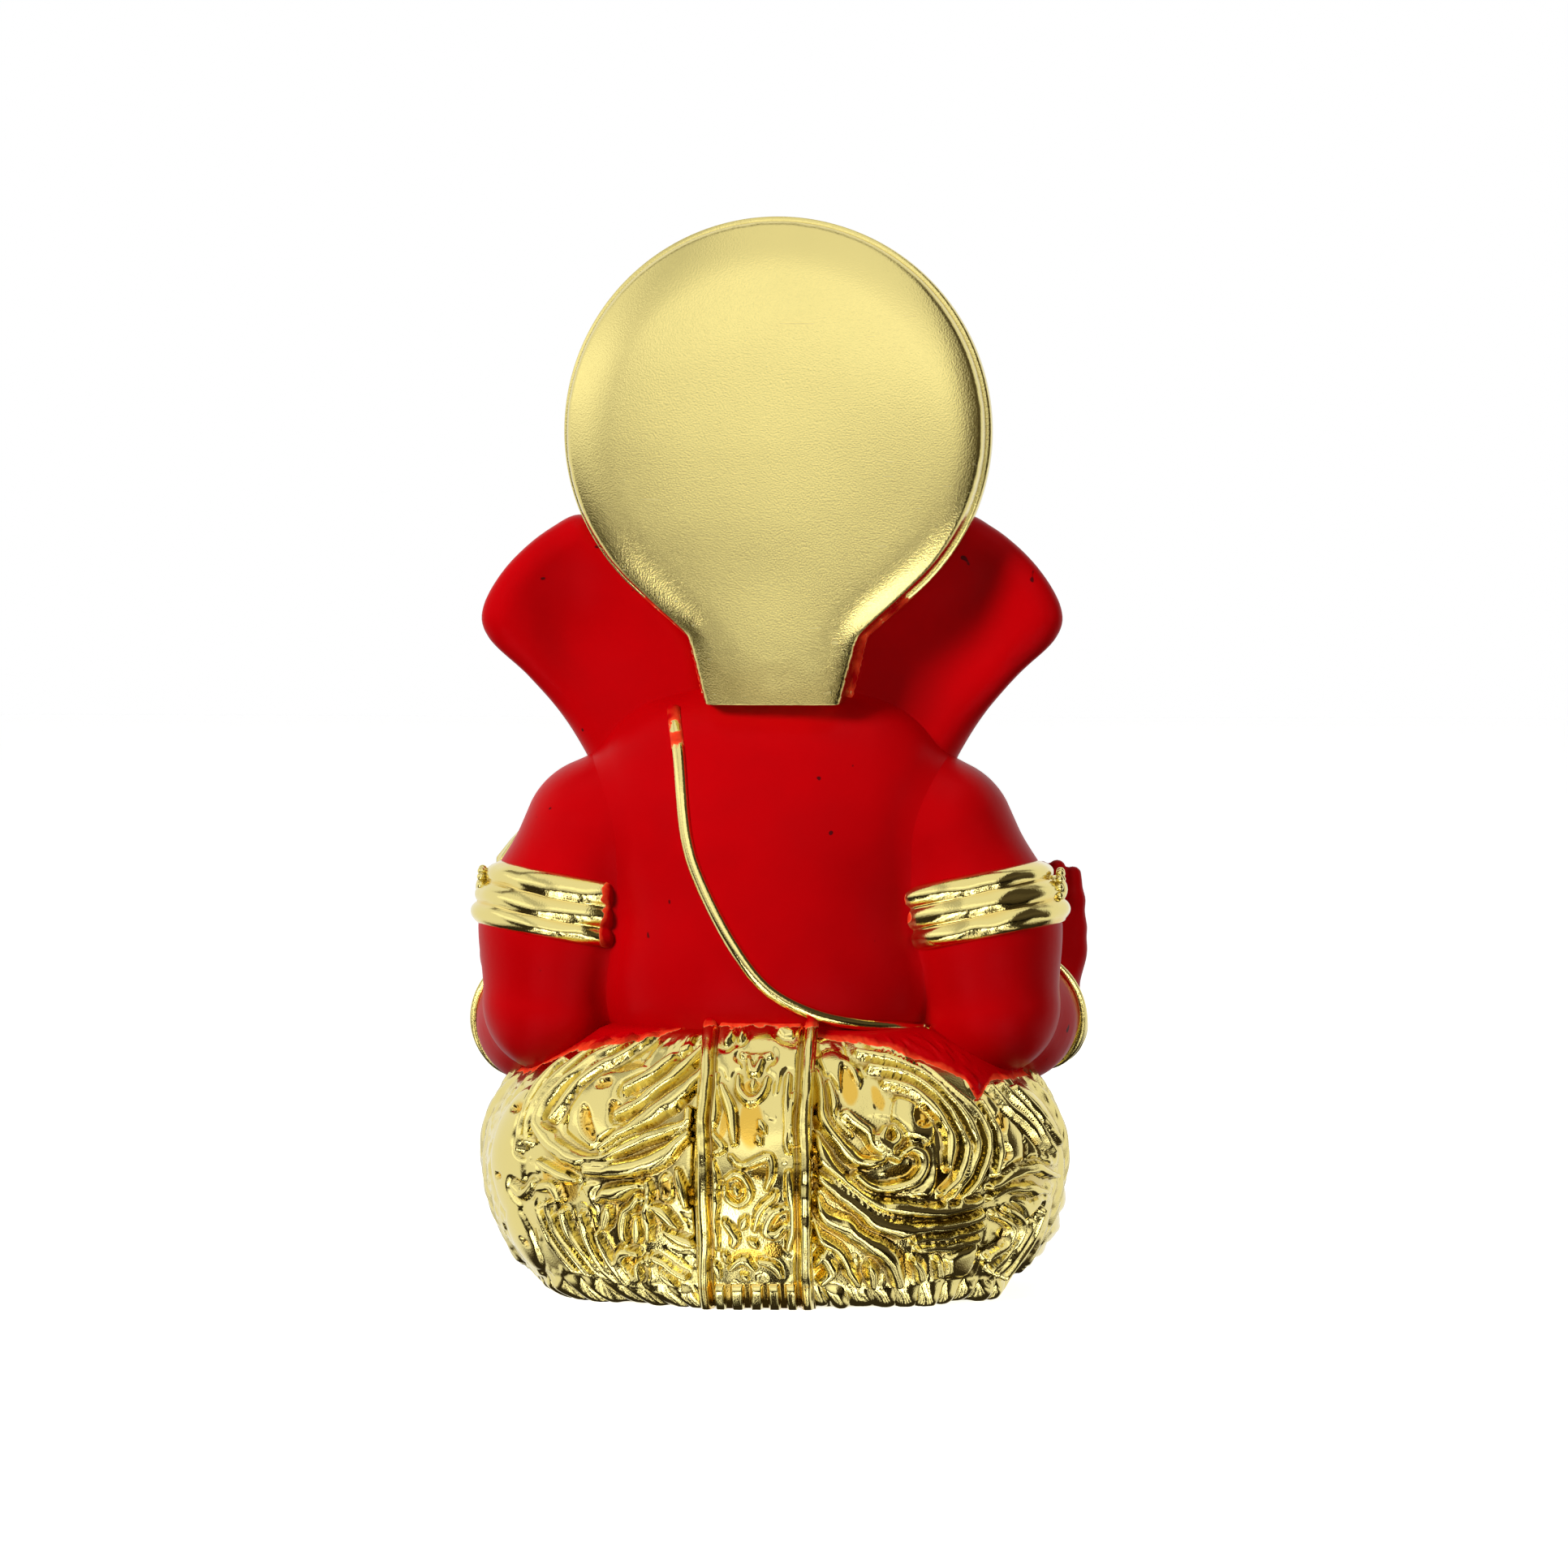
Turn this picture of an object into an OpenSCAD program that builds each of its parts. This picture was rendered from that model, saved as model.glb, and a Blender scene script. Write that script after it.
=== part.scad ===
// Seated ganesha idol: a small devotional figure put together from castings, gold plated and painted red.
// Millimetres. The idol stands on z = 0 and faces -Y, with its left hand towards +X.

/* [Seat] */
// Width across the wrapped hips
seat_w = 49; // [43:0.5:59]
// Depth across the wrapped hips, front to back
seat_d = 35; // [30:0.5:42]
// Height of the seat, from the table to the waist
seat_h = 22.5; // [19:0.5:27]
// Width of the flat foot
foot_w = 36; // [31:0.5:43]
// Depth of the flat foot
foot_d = 27; // [23:0.5:32]
// Width of the rim round the felt pad
pad_rim = 2.5; // [2:0.25:3]
// Thickness of the felt pad
pad_t = 0.8; // [0.5:0.1:1.2]
// Width of the sash that hangs down the back
sash_w = 9.5; // [8:0.5:11]
// Height of the sash above the wrapped cloth
sash_t = 0.7; // [0.5:0.1:1]
// Width of each raised border of the sash
sash_edge = 1.4; // [1:0.1:1.7]

/* [Legs] */
// Radius of each knee
knee_r = 6.8; // [5.8:0.2:8.2]
// Radius of each ankle
ankle_r = 3.5; // [3:0.1:4.2]
// Length of each foot past its anklet
foot_l = 8.5; // [7:0.25:10.2]

/* [Torso] */
// Width of the torso at the belly
torso_w = 31; // [26:0.2:37]
// Depth of the torso at the belly
torso_d = 26; // [22:0.2:31]
// Height of the torso, from the waist to the nape
torso_h = 27; // [23:0.5:32]
// Width of the sacred thread
thread_w = 1; // [0.8:0.1:1.2]
// Height of the thread and the necklace above the skin
thread_t = 0.6; // [0.5:0.05:0.8]
// Width of the necklace
necklace_w = 2.2; // [1.8:0.1:2.6]

/* [Arms] */
// Distance from the middle of the idol to the middle of each shoulder
shoulder_x = 14.25; // [12.25:0.25:17.25]
// Radius of each shoulder
shoulder_r = 7.4; // [6.4:0.2:8.8]
// Radius of each elbow
elbow_r = 5.9; // [5:0.1:7]
// Radius of each wrist
wrist_r = 3.7; // [3.1:0.1:4.4]
// Length of each forearm, from the elbow to the wrist
forearm_l = 12; // [10:0.5:14]
// Height of each raised hand above its wrist
hand_h = 12.5; // [10.5:0.5:15]
// Height of each armlet
armlet_h = 5; // [4.2:0.2:6]
// Height of the armlets above the skin
armlet_t = 0.9; // [0.75:0.05:1.1]
// Width of each bangle and anklet
bangle_w = 2.6; // [2.2:0.1:3.1]
// Height of each bangle and anklet above the skin
bangle_t = 0.8; // [0.65:0.05:1]
// Radius of the sweet in the left hand
sweet_r = 3; // [2.5:0.1:3.6]

/* [Head] */
// Width of the skull
head_w = 23; // [19.5:0.5:27.5]
// Depth of the skull
head_d = 18; // [15.5:0.5:21.5]
// Height of the skull
head_h = 22; // [18.5:0.5:26]
// Radius of the trunk where it leaves the face
trunk_r = 4.8; // [4.1:0.1:5.8]
// Distance from the middle of the idol to each ear's tip
ear_reach = 23.6; // [21:0.2:28]
// Height of each ear
ear_h = 19; // [16:0.5:22.5]
// Half the thickness of each ear
ear_t = 3; // [2.5:0.1:3.6]
// Length of the whole tusk; the broken one is half of it
tusk_l = 5; // [4.2:0.2:6]

/* [Crown and halo] */
// Width of the halo
halo_w = 35.6; // [31:0.2:42]
// Height of the halo, from the nape to its top
halo_h = 40.5; // [36:0.5:48.5]
// Width of the halo's stem
stem_w = 13.4; // [11.4:0.2:16.2]
// Height of the halo's stem
stem_h = 5.6; // [4.6:0.2:6.6]
// Thickness of the halo's front plate
plate_t = 2.4; // [2:0.1:2.9]
// How far the domed back stands out behind the plate
dome_t = 6; // [5:0.2:7.2]
// Step between the edge of the plate and the edge of the dome
rim_step = 0.5; // [0.4:0.05:0.6]
// Width of the crown's headband
crown_w = 22; // [19:0.5:26]
// Height of the crown, from its headband to its tip
crown_h = 24; // [20:0.5:28]
// Number of studs on the headband
stud_count = 7; // [5:2:9]
// Radius of each stud
stud_r = 1.1; // [0.9:0.05:1.3]

/* [Joints] */
// Diameter of the pegs that line the castings up
peg_d = 7; // [6:0.25:8.5]
// Length of the pegs
peg_l = 3; // [2.5:0.25:3.6]
// Gap round a peg and past its end
peg_gap = 0.15; // [0.1:0.05:0.2]

/* [Hidden] */

LEFT = 1;
RIGHT = -1;
far = 100; // longer than the idol in any direction
skin = 0.01; // thickness of a slice that only shapes a hull
limb_fn = 16; // facets round a limb
body_fn = 32; // facets round the seat, the torso and the skull

// Heights of the joins
waist_z = seat_h;
nape_z = waist_z + torso_h;
top_z = nape_z + halo_h;

// The seat is an oval that bulges out halfway up
seat_y = 0.5;
bulge_z = seat_h * 0.51;
bulge_h = (waist_z - bulge_z) / 0.76;

// Torso lumps: [x, y, z, x radius, y radius, z radius]
belly = [0, -0.5, waist_z + torso_h * 0.15, torso_w / 2, torso_d / 2, torso_h * 0.37];
chest = [0, 0.5, waist_z + torso_h * 0.6, torso_w * 0.4, torso_d * 0.42, torso_h * 0.34];
nape = [0, 1, nape_z - torso_h * 0.15, torso_w * 0.28, torso_d * 0.3, torso_h * 0.15];

// Legs: the left shin lies on the table and the right one crosses over it
hip = [seat_w * 0.26, -4, bulge_z, 8, 8, 8];
knee = [seat_w / 2 - knee_r, -8.5, knee_r + 1, knee_r, knee_r, knee_r];
left_ankle = [1.5, -seat_d * 0.44, ankle_r + 0.3];
right_ankle = [-0.5, -seat_d * 0.43, ankle_r + 7.5];

// Arms hang from the shoulders, bend at the elbows and hold their hands up
arm_z = waist_z + torso_h * 0.575;
shoulder = [shoulder_x, 1, arm_z];
elbow = [shoulder_x + 4, 1.5, arm_z - 14.5];
wrist = elbow + forearm_l * [0.26, -0.93, 0.02];
hand_top = wrist[2] + hand_h;

// Skull, sunk a little into the shoulders
head_y = -4.5;
head_z = nape_z + head_h / 2 - 3;
skull = [0, head_y, head_z, head_w / 2, head_d / 2, head_h / 2];
face_y = head_y - head_d / 2;

// The plate stands behind the skull
plate_y = 2.2;
dome_y = plate_y + plate_t;
disc_z = top_z - halo_w / 2;
stem_z = nape_z + stem_h;
crown_z = head_z + head_h * 0.28;
crown_y = head_y + 1.5;

// ---------- building blocks ----------

function ball(x, y, z, r) = [x, y, z, r, r, r];
function sided(side, b) = [side * b[0], b[1], b[2], b[3], b[4], b[5]];
function flip(side, list) = [for (b = list) sided(side, b)];

// A smooth run between the middle two of four neighbouring lumps, at t from 0 to 1
function run(a, b, c, d, t) =
    0.5 * (2 * b + (c - a) * t + (2 * a - 5 * b + 4 * c - d) * t * t + (3 * b - a - 3 * c + d) * t * t * t);
function pick(list, i) = list[max(0, min(len(list) - 1, i))];
function smooth(list, steps) = concat(
    [for (i = [0 : len(list) - 2]) for (k = [0 : steps - 1])
        run(pick(list, i - 1), list[i], list[i + 1], pick(list, i + 2), k / steps)],
    [list[len(list) - 1]]);

// One rounded lump, with its surface grown outwards by grow
module lump(b, grow = 0, fn = limb_fn) {
    hull() translate([b[0], b[1], b[2]])
        scale([b[3] + grow, b[4] + grow, b[5] + grow])
            sphere(r = 1, $fn = fn);
}

// A limb through a list of lumps
module limb(lumps, grow = 0, steps = 2, fn = limb_fn) {
    path = smooth(lumps, steps);
    for (i = [0 : len(path) - 2])
        hull() {
            lump(path[i], grow, fn);
            lump(path[i + 1], grow, fn);
        }
}

// Everything above a height
module above(z) {
    translate([-far, -far, z]) cube([2 * far, 2 * far, far]);
}

// A flat slab across a limb at the point a, square to the direction v
module slab(a, v, thick) {
    translate(a) rotate([0, atan2(norm([v[0], v[1]]), v[2]), atan2(v[1], v[0])])
        cylinder(d = far, h = thick, center = true);
}

// Everything on the far side of the point a, seen along the direction v
module beyond(a, v) {
    translate(a) rotate([0, atan2(norm([v[0], v[1]]), v[2]), atan2(v[1], v[0])])
        cylinder(d = far, h = far);
}

module oval(w, d) {
    polygon([for (i = [0 : body_fn - 1]) [w / 2 * cos(360 * i / body_fn), d / 2 * sin(360 * i / body_fn)]]);
}

module peg(grow = 0) {
    cylinder(d = peg_d + 2 * grow, h = peg_l + grow, $fn = body_fn);
}

// ---------- seat ----------

module seat_form(grow = 0) {
    intersection() {
        hull() {
            translate([0, seat_y, bulge_z])
                scale([seat_w / 2 + grow, seat_d / 2 + grow, bulge_h + grow])
                    sphere(r = 1, $fn = body_fn);
            linear_extrude(skin) oval(foot_w + 2 * grow, foot_d + 2 * grow);
        }
        translate([-far / 2, -far / 2, 0]) cube([far, far, waist_z]);
    }
}

module seat() {
    color("gold") {
        difference() {
            seat_form();
            translate([0, 0, -1]) linear_extrude(pad_t + 1) oval(foot_w - 2 * pad_rim, foot_d - 2 * pad_rim);
        }
        translate([0, 0, waist_z]) peg();
    }
}

module felt_pad() {
    color("darkred") linear_extrude(pad_t) oval(foot_w - 2 * pad_rim, foot_d - 2 * pad_rim);
}

// A strip of cloth down the back, with a raised border on each side
module back_sash() {
    color("gold") difference() {
        union() {
            intersection() {
                seat_form(sash_t);
                translate([-sash_w / 2, seat_y, 0]) cube([sash_w, far, waist_z]);
            }
            for (side = [LEFT, RIGHT])
                intersection() {
                    seat_form(2 * sash_t);
                    translate([side * (sash_w - sash_edge) / 2 - sash_edge / 2, seat_y, 0])
                        cube([sash_edge, far, waist_z]);
                }
        }
        seat_form();
    }
}

// ---------- legs ----------

left_shin = [hip, knee, ball(knee[0] * 0.45, -seat_d * 0.42, 5.2, ankle_r * 1.3),
             ball(left_ankle[0], left_ankle[1], left_ankle[2], ankle_r)];
right_shin = flip(RIGHT, [hip, knee, ball(knee[0] * 0.5, -seat_d * 0.41, right_ankle[2] - 1, ankle_r * 1.3),
                          ball(-right_ankle[0], right_ankle[1], right_ankle[2], ankle_r)]);
left_toes = [ball(left_ankle[0], left_ankle[1], left_ankle[2], ankle_r * 0.85),
             left_ankle_toe(0.6, 3),
             left_ankle_toe(1.1, 2.3)];
right_toes = [ball(right_ankle[0], right_ankle[1], right_ankle[2], ankle_r * 0.85),
              right_ankle_toe(0.6, 3),
              right_ankle_toe(1.1, 2.3)];
function left_ankle_toe(t, r) = ball(left_ankle[0] - foot_l * t, left_ankle[1], left_ankle[2] - 0.6 * t, r);
function right_ankle_toe(t, r) = ball(right_ankle[0] + foot_l * t, right_ankle[1], right_ankle[2] - 1.5 * t, r);

module left_leg_form() {
    difference() {
        intersection() {
            limb(left_shin);
            above(0);
        }
        beyond(left_ankle, [-1, 0, 0]);
    }
}

module right_leg_form() {
    difference() {
        limb(right_shin);
        beyond(right_ankle, [1, 0, 0]);
    }
}

// An ankle ring round the end of a shin, on the foot's side of the ankle
module anklet_form(ankle, side) {
    intersection() {
        lump(ball(ankle[0], ankle[1], ankle[2], ankle_r + bangle_t));
        translate([side * bangle_w / 2, 0, 0]) slab(ankle, [1, 0, 0], bangle_w);
        above(0);
    }
}

module left_leg() {
    color("gold") difference() {
        left_leg_form();
        seat_form();
    }
}

module right_leg() {
    color("gold") difference() {
        right_leg_form();
        seat_form();
        left_leg_form();
    }
}

module left_anklet() {
    color("gold") difference() {
        anklet_form(left_ankle, -1);
        seat_form();
        right_leg_form();
    }
}

module right_anklet() {
    color("gold") difference() {
        anklet_form(right_ankle, 1);
        anklet_form(left_ankle, -1);
        seat_form();
        left_leg_form();
    }
}

module left_foot() {
    color("red") difference() {
        intersection() {
            limb(left_toes);
            beyond(left_ankle - [bangle_w, 0, 0], [-1, 0, 0]);
            above(0);
        }
        seat_form();
        right_leg_form();
    }
}

module right_foot() {
    color("red") difference() {
        intersection() {
            limb(right_toes);
            beyond(right_ankle + [bangle_w, 0, 0], [1, 0, 0]);
        }
        seat_form();
        left_leg_form();
    }
}

// ---------- torso ----------

module torso_form(grow = 0) {
    intersection() {
        limb([belly, chest, nape], grow, 3, body_fn);
        above(waist_z);
    }
}

module torso() {
    color("red") {
        difference() {
            torso_form();
            translate([0, 0, waist_z]) peg(peg_gap);
        }
        translate([0, nape[1], nape_z - 0.5]) peg();
    }
}

// Route of the thread as seen from the front or the back: from the left of the neck to the right of the waist
thread_route = [for (p = [[0.52, 1.02], [0.46, 0.84], [0.4, 0.58], [0.15, 0.28], [-0.05, 0.14],
                          [-0.3, 0.06], [-0.65, 0.035], [-1.1, 0.03]])
    [p[0] * torso_w / 2, waist_z + p[1] * torso_h]];

module sacred_thread() {
    color("gold") difference() {
        intersection() {
            torso_form(thread_t);
            for (i = [0 : len(thread_route) - 2])
                hull() for (p = [thread_route[i], thread_route[i + 1]])
                    translate([p[0], 0, p[1]]) rotate([90, 0, 0])
                        cylinder(d = thread_w, h = far, center = true, $fn = 8);
        }
        torso_form();
        seat_form();
        head_form();
        halo_form();
        trunk_form();
        necklace_form();
        arms_form();
        forearm_form(RIGHT);
    }
}

// The necklace slopes from the nape down to the middle of the chest
module necklace_form() {
    intersection() {
        torso_form(2 * thread_t);
        slab([0, -torso_d * 0.42, nape_z - torso_h * 0.5], [0, 0.75, 1], necklace_w);
        translate([-far, -2 * far, 0]) cube(2 * far);
    }
}

module necklace() {
    color("gold") difference() {
        necklace_form();
        torso_form();
        head_form();
        trunk_form();
        arms_form();
        for (side = [LEFT, RIGHT]) {
            ear_form(side);
            armlet_form(side);
        }
    }
}

// ---------- arms ----------

upper_arm = [ball(shoulder[0], shoulder[1], shoulder[2], shoulder_r),
             ball(shoulder_x + 3.2, 1.5, arm_z - 8, elbow_r + 0.5),
             ball(elbow[0], elbow[1], elbow[2], elbow_r)];
forearm = [ball(elbow[0], elbow[1], elbow[2], elbow_r * 0.95),
           ball((elbow[0] + wrist[0]) / 2, (elbow[1] + wrist[1]) / 2, elbow[2] - 1, wrist_r * 1.25),
           ball(wrist[0], wrist[1], wrist[2], wrist_r),
           [wrist[0] + 0.5, wrist[1] - 1.5, wrist[2] + hand_h * 0.5, wrist_r, wrist_r * 0.8, wrist_r],
           [wrist[0] + 0.8, wrist[1] - 1.8, hand_top - wrist_r * 0.8, wrist_r * 0.8, wrist_r * 0.5, wrist_r * 0.8]];
sweet_z = hand_top - sweet_r * 0.4;
sweet_lump = ball(wrist[0] + 0.5, wrist[1] - 1.2, sweet_z, sweet_r);

module upper_arm_form(side, grow = 0) {
    limb(flip(side, upper_arm), grow);
}

module forearm_form(side, grow = 0) {
    limb(flip(side, forearm), grow);
}

module arms_form() {
    for (side = [LEFT, RIGHT]) upper_arm_form(side);
}

module armlet_form(side) {
    at = (shoulder + elbow) / 2;
    along = elbow - shoulder;
    intersection() {
        upper_arm_form(side, armlet_t);
        slab([side * at[0], at[1], at[2] + 1], [side * along[0], along[1], along[2]], armlet_h);
    }
}

module bangle_form(side) {
    at = wrist + [-0.6, 1.5, -0.2];
    intersection() {
        forearm_form(side, bangle_t);
        slab([side * at[0], at[1], at[2]], [side * 0.25, -0.8, 0.45], bangle_w);
    }
}

module upper_arm(side) {
    color("red") difference() {
        upper_arm_form(side);
        torso_form();
        seat_form();
    }
}

module armlet(side) {
    color("gold") difference() {
        armlet_form(side);
        upper_arm_form(side);
        torso_form();
    }
}

module forearm(side) {
    color("red") difference() {
        forearm_form(side);
        upper_arm_form(side);
        armlet_form(side);
        torso_form();
        seat_form();
        left_leg_form();
        right_leg_form();
    }
}

module bangle(side) {
    color("gold") difference() {
        bangle_form(side);
        forearm_form(side);
        upper_arm_form(side);
        torso_form();
        seat_form();
        left_leg_form();
        right_leg_form();
    }
}

module left_upper_arm() { upper_arm(LEFT); }
module right_upper_arm() { upper_arm(RIGHT); }
module left_armlet() { armlet(LEFT); }
module right_armlet() { armlet(RIGHT); }
module left_forearm() { forearm(LEFT); }
module right_forearm() { forearm(RIGHT); }
module left_bangle() { bangle(LEFT); }
module right_bangle() { bangle(RIGHT); }

// A pleated sweet dumpling with a pointed top, in the fingers of the left hand
module sweet() {
    color("gold") difference() {
        hull() {
            lump(sweet_lump);
            lump(ball(sweet_lump[0], sweet_lump[1], sweet_z + sweet_r * 1.1, sweet_r * 0.25));
        }
        forearm_form(LEFT);
        upper_arm_form(LEFT);
        armlet_form(LEFT);
    }
}

// ---------- head ----------

trunk_path = [ball(0, face_y + trunk_r * 0.5, head_z - 2, trunk_r),
              ball(0, face_y - 1.2, head_z - 8.5, trunk_r * 0.93),
              ball(0.4, -torso_d / 2 - 2, nape_z - 7, trunk_r * 0.8),
              ball(1.6, -torso_d / 2 - 3, nape_z - 13, trunk_r * 0.68),
              ball(5.2, -torso_d / 2 - 3, nape_z - 16.5, trunk_r * 0.57),
              ball(8.8, -torso_d / 2 - 2.5, nape_z - 14.5, trunk_r * 0.48)];

module head_form() {
    lump(skull, 0, body_fn);
    hull() {
        lump([0, head_y - 1, head_z - 5, head_w * 0.4, head_d * 0.46, head_h * 0.27], 0, body_fn);
        lump([0, face_y + 4, head_z - 7, head_w * 0.26, 4, head_h * 0.2]);
    }
}

module trunk_form() {
    limb(trunk_path);
}

module head() {
    color("red") difference() {
        head_form();
        torso_form();
        halo_form();
        translate([0, nape[1], nape_z - 0.5]) peg(peg_gap);
    }
}

module trunk() {
    color("red") difference() {
        trunk_form();
        head_form();
        torso_form();
    }
}

// The left tusk is whole and the right one is broken off short
module tusk_form(side) {
    root = [side * head_w * 0.22, face_y + 2.5, head_z - 8.5];
    tip = root + (side == LEFT ? tusk_l : tusk_l / 2) * [side * 0.35, -0.85, -0.2];
    r = side == LEFT ? 0.45 : 0.9;
    difference() {
        hull() {
            lump(ball(root[0], root[1], root[2], 1.3));
            lump(ball(tip[0], tip[1] - 1, tip[2], r));
        }
        trunk_form();
        head_form();
        torso_form();
    }
}

module left_tusk() { color("ivory") tusk_form(LEFT); }
module right_tusk() { color("ivory") tusk_form(RIGHT); }

// An ear fans out from the side of the skull and droops to the shoulder
module ear_form(side) {
    mid = head_z - 1.5;
    tip_r = ear_h * 0.21;
    difference() {
        hull() {
            lump(sided(side, [head_w * 0.45, 0, mid + ear_h * 0.2, 5, ear_t, ear_h * 0.27]));
            lump(sided(side, [ear_reach - tip_r - 1.3, 0.8, mid + ear_h * 0.14, tip_r * 1.1, ear_t * 0.9, tip_r * 1.2]));
            lump(sided(side, [ear_reach - tip_r, 1, mid + 0.4, tip_r, ear_t * 0.85, tip_r]));
            lump(sided(side, [head_w * 0.6, 0.4, mid - ear_h * 0.35, ear_h * 0.2, ear_t * 0.9, ear_h * 0.2]));
        }
        head_form();
        crown_form();
        halo_form();
        torso_form();
        arms_form();
    }
}

module left_ear() { color("red") ear_form(LEFT); }
module right_ear() { color("red") ear_form(RIGHT); }

module eye(side) {
    color("white") difference() {
        lump(sided(side, [head_w * 0.23, face_y + 1.3, head_z + 0.8, 1.9, 1.1, 1]));
        head_form();
        trunk_form();
    }
}

module left_eye() { eye(LEFT); }
module right_eye() { eye(RIGHT); }

module forehead_mark() {
    color("gold") difference() {
        lump([0, face_y + 0.4, head_z + 3, 1.6, 1.1, 2.2]);
        head_form();
        trunk_form();
        crown_form();
    }
}

// ---------- crown and halo ----------

// Outline of the halo, seen from the front: a disc that tapers to a stem
module halo_outline(inset = 0) {
    hull() {
        translate([0, disc_z]) circle(r = halo_w / 2 - inset, $fn = 64);
        translate([-stem_w / 2 + inset, stem_z]) square([stem_w - 2 * inset, stem_h]);
    }
}

module upright(y, thick) {
    translate([0, y + thick, 0]) rotate([90, 0, 0]) linear_extrude(thick) children();
}

module plate_form() {
    upright(plate_y, plate_t) {
        halo_outline();
        translate([-stem_w * 0.42, nape_z]) square([stem_w * 0.84, stem_h + 1]);
    }
}

// A pillow that swells out of an outline: slices shrink as they leave it, and start root in front of it
module pillow(depth, edge, root, slices = 5) {
    for (i = [0 : slices - 1])
        upright(dome_y - root, root + max(skin, depth * sin(90 * i / (slices - 1))))
            offset(delta = -edge * (1 - cos(90 * i / (slices - 1)))) children();
}

module dome_form(root = 0) {
    hull() pillow(dome_t, halo_w * 0.36, root) halo_outline(rim_step);
    hull() pillow(dome_t * 0.7, stem_w * 0.36, root)
        translate([-stem_w * 0.42 + rim_step, nape_z]) square([stem_w * 0.84 - 2 * rim_step, stem_h * 2]);
}

module halo_form() {
    plate_form();
    dome_form(plate_t / 2);
}

module halo_front() {
    color("gold") difference() {
        plate_form();
        torso_form();
        translate([0, nape[1], nape_z - 0.5]) peg(peg_gap);
    }
}

module halo_back() {
    color("gold") difference() {
        dome_form();
        torso_form();
    }
}

// Tiers of the crown: [height above the headband, width], each as a part of the whole
tiers = [[0, 1], [0.2, 1.04], [0.24, 0.86], [0.42, 0.82], [0.46, 0.64], [0.62, 0.58],
         [0.66, 0.42], [0.8, 0.3], [0.86, 0.14], [1, 0.05]];

module crown_form() {
    for (i = [0 : len(tiers) - 2])
        hull() for (t = [tiers[i], tiers[i + 1]])
            translate([0, crown_y, crown_z + t[0] * crown_h]) linear_extrude(skin)
                oval(crown_w * t[1], crown_w * t[1] * head_d / head_w);
}

module crown() {
    color("gold") difference() {
        crown_form();
        head_form();
        translate([-far, plate_y, 0]) cube(2 * far);
    }
}

module crown_studs() {
    color("crimson") difference() {
        for (i = [0 : stud_count - 1]) {
            a = 180 + 180 * (i + 0.5) / stud_count;
            lump(ball(crown_w * 0.51 * cos(a), crown_y + crown_w * 0.51 * head_d / head_w * sin(a),
                      crown_z + crown_h * 0.11, stud_r));
        }
        crown_form();
        head_form();
        halo_form();
        for (side = [LEFT, RIGHT]) ear_form(side);
    }
}

seat();
felt_pad();
back_sash();
left_leg();
right_leg();
left_foot();
right_foot();
left_anklet();
right_anklet();
torso();
sacred_thread();
necklace();
left_upper_arm();
right_upper_arm();
left_armlet();
right_armlet();
left_forearm();
right_forearm();
left_bangle();
right_bangle();
sweet();
head();
trunk();
left_tusk();
right_tusk();
left_ear();
right_ear();
left_eye();
right_eye();
forehead_mark();
crown();
crown_studs();
halo_front();
halo_back();
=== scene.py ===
import math
from functools import reduce

import bmesh
import bpy
import numpy as np
from bpy.props import BoolProperty, FloatProperty, FloatVectorProperty, IntProperty, PointerProperty
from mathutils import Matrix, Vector


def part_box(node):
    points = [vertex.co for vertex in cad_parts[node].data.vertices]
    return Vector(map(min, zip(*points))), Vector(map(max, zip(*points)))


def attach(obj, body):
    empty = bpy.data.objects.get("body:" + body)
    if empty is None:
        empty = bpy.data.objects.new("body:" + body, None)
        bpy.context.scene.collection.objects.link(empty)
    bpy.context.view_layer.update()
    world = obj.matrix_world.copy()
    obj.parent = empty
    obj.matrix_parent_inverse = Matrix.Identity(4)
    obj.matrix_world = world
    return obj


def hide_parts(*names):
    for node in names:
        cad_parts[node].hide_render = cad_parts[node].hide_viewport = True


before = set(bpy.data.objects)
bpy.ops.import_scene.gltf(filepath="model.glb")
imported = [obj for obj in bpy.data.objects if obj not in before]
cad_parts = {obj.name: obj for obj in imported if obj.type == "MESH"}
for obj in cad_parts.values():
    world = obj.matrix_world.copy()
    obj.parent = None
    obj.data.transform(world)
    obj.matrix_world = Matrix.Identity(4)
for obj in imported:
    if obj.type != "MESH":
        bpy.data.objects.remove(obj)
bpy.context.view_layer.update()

bl_info = {
    "name": "Ganesha Idol",
    "version": (1, 0, 0),
    "blender": (4, 5, 0),
    "location": "3D View > Sidebar > Idol",
    "description": "Sculpts, plates and paints a small seated idol round its packed frame",
    "category": "Object",
}

# Shapes are worked out in millimetres, in the frame's own axes: +Z up, the idol faces -Y, its left is +X.
MM = 0.001
LEFT, RIGHT = 1, -1
SIDES = {LEFT: "left", RIGHT: "right"}
# paint is a distance inside the painted area, kept between these two
BARE, PAINTED = -2.0, 2.0
# the fan points that close a grid's two ends
FAN_ENDS = [0, 0]
# names of the three main finishes
GOLD, SATIN, RED = "bright_plating", "satin_plating", "red_spray_paint"


def box(node):
    """Lowest and highest corner of a frame node, in millimetres."""
    low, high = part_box(node)
    return np.array(low) * 1000, np.array(high) * 1000


SEAT = box("seat")
TORSO = box("torso")
SASH = box("back_sash")
PLATE = box("halo_front")
HEAD = box("head")
EAR = box("left_ear")
ARM = box("left_upper_arm")
FOREARM = box("left_forearm")
TRUNK = box("trunk")
CROWN = box("crown")

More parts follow.
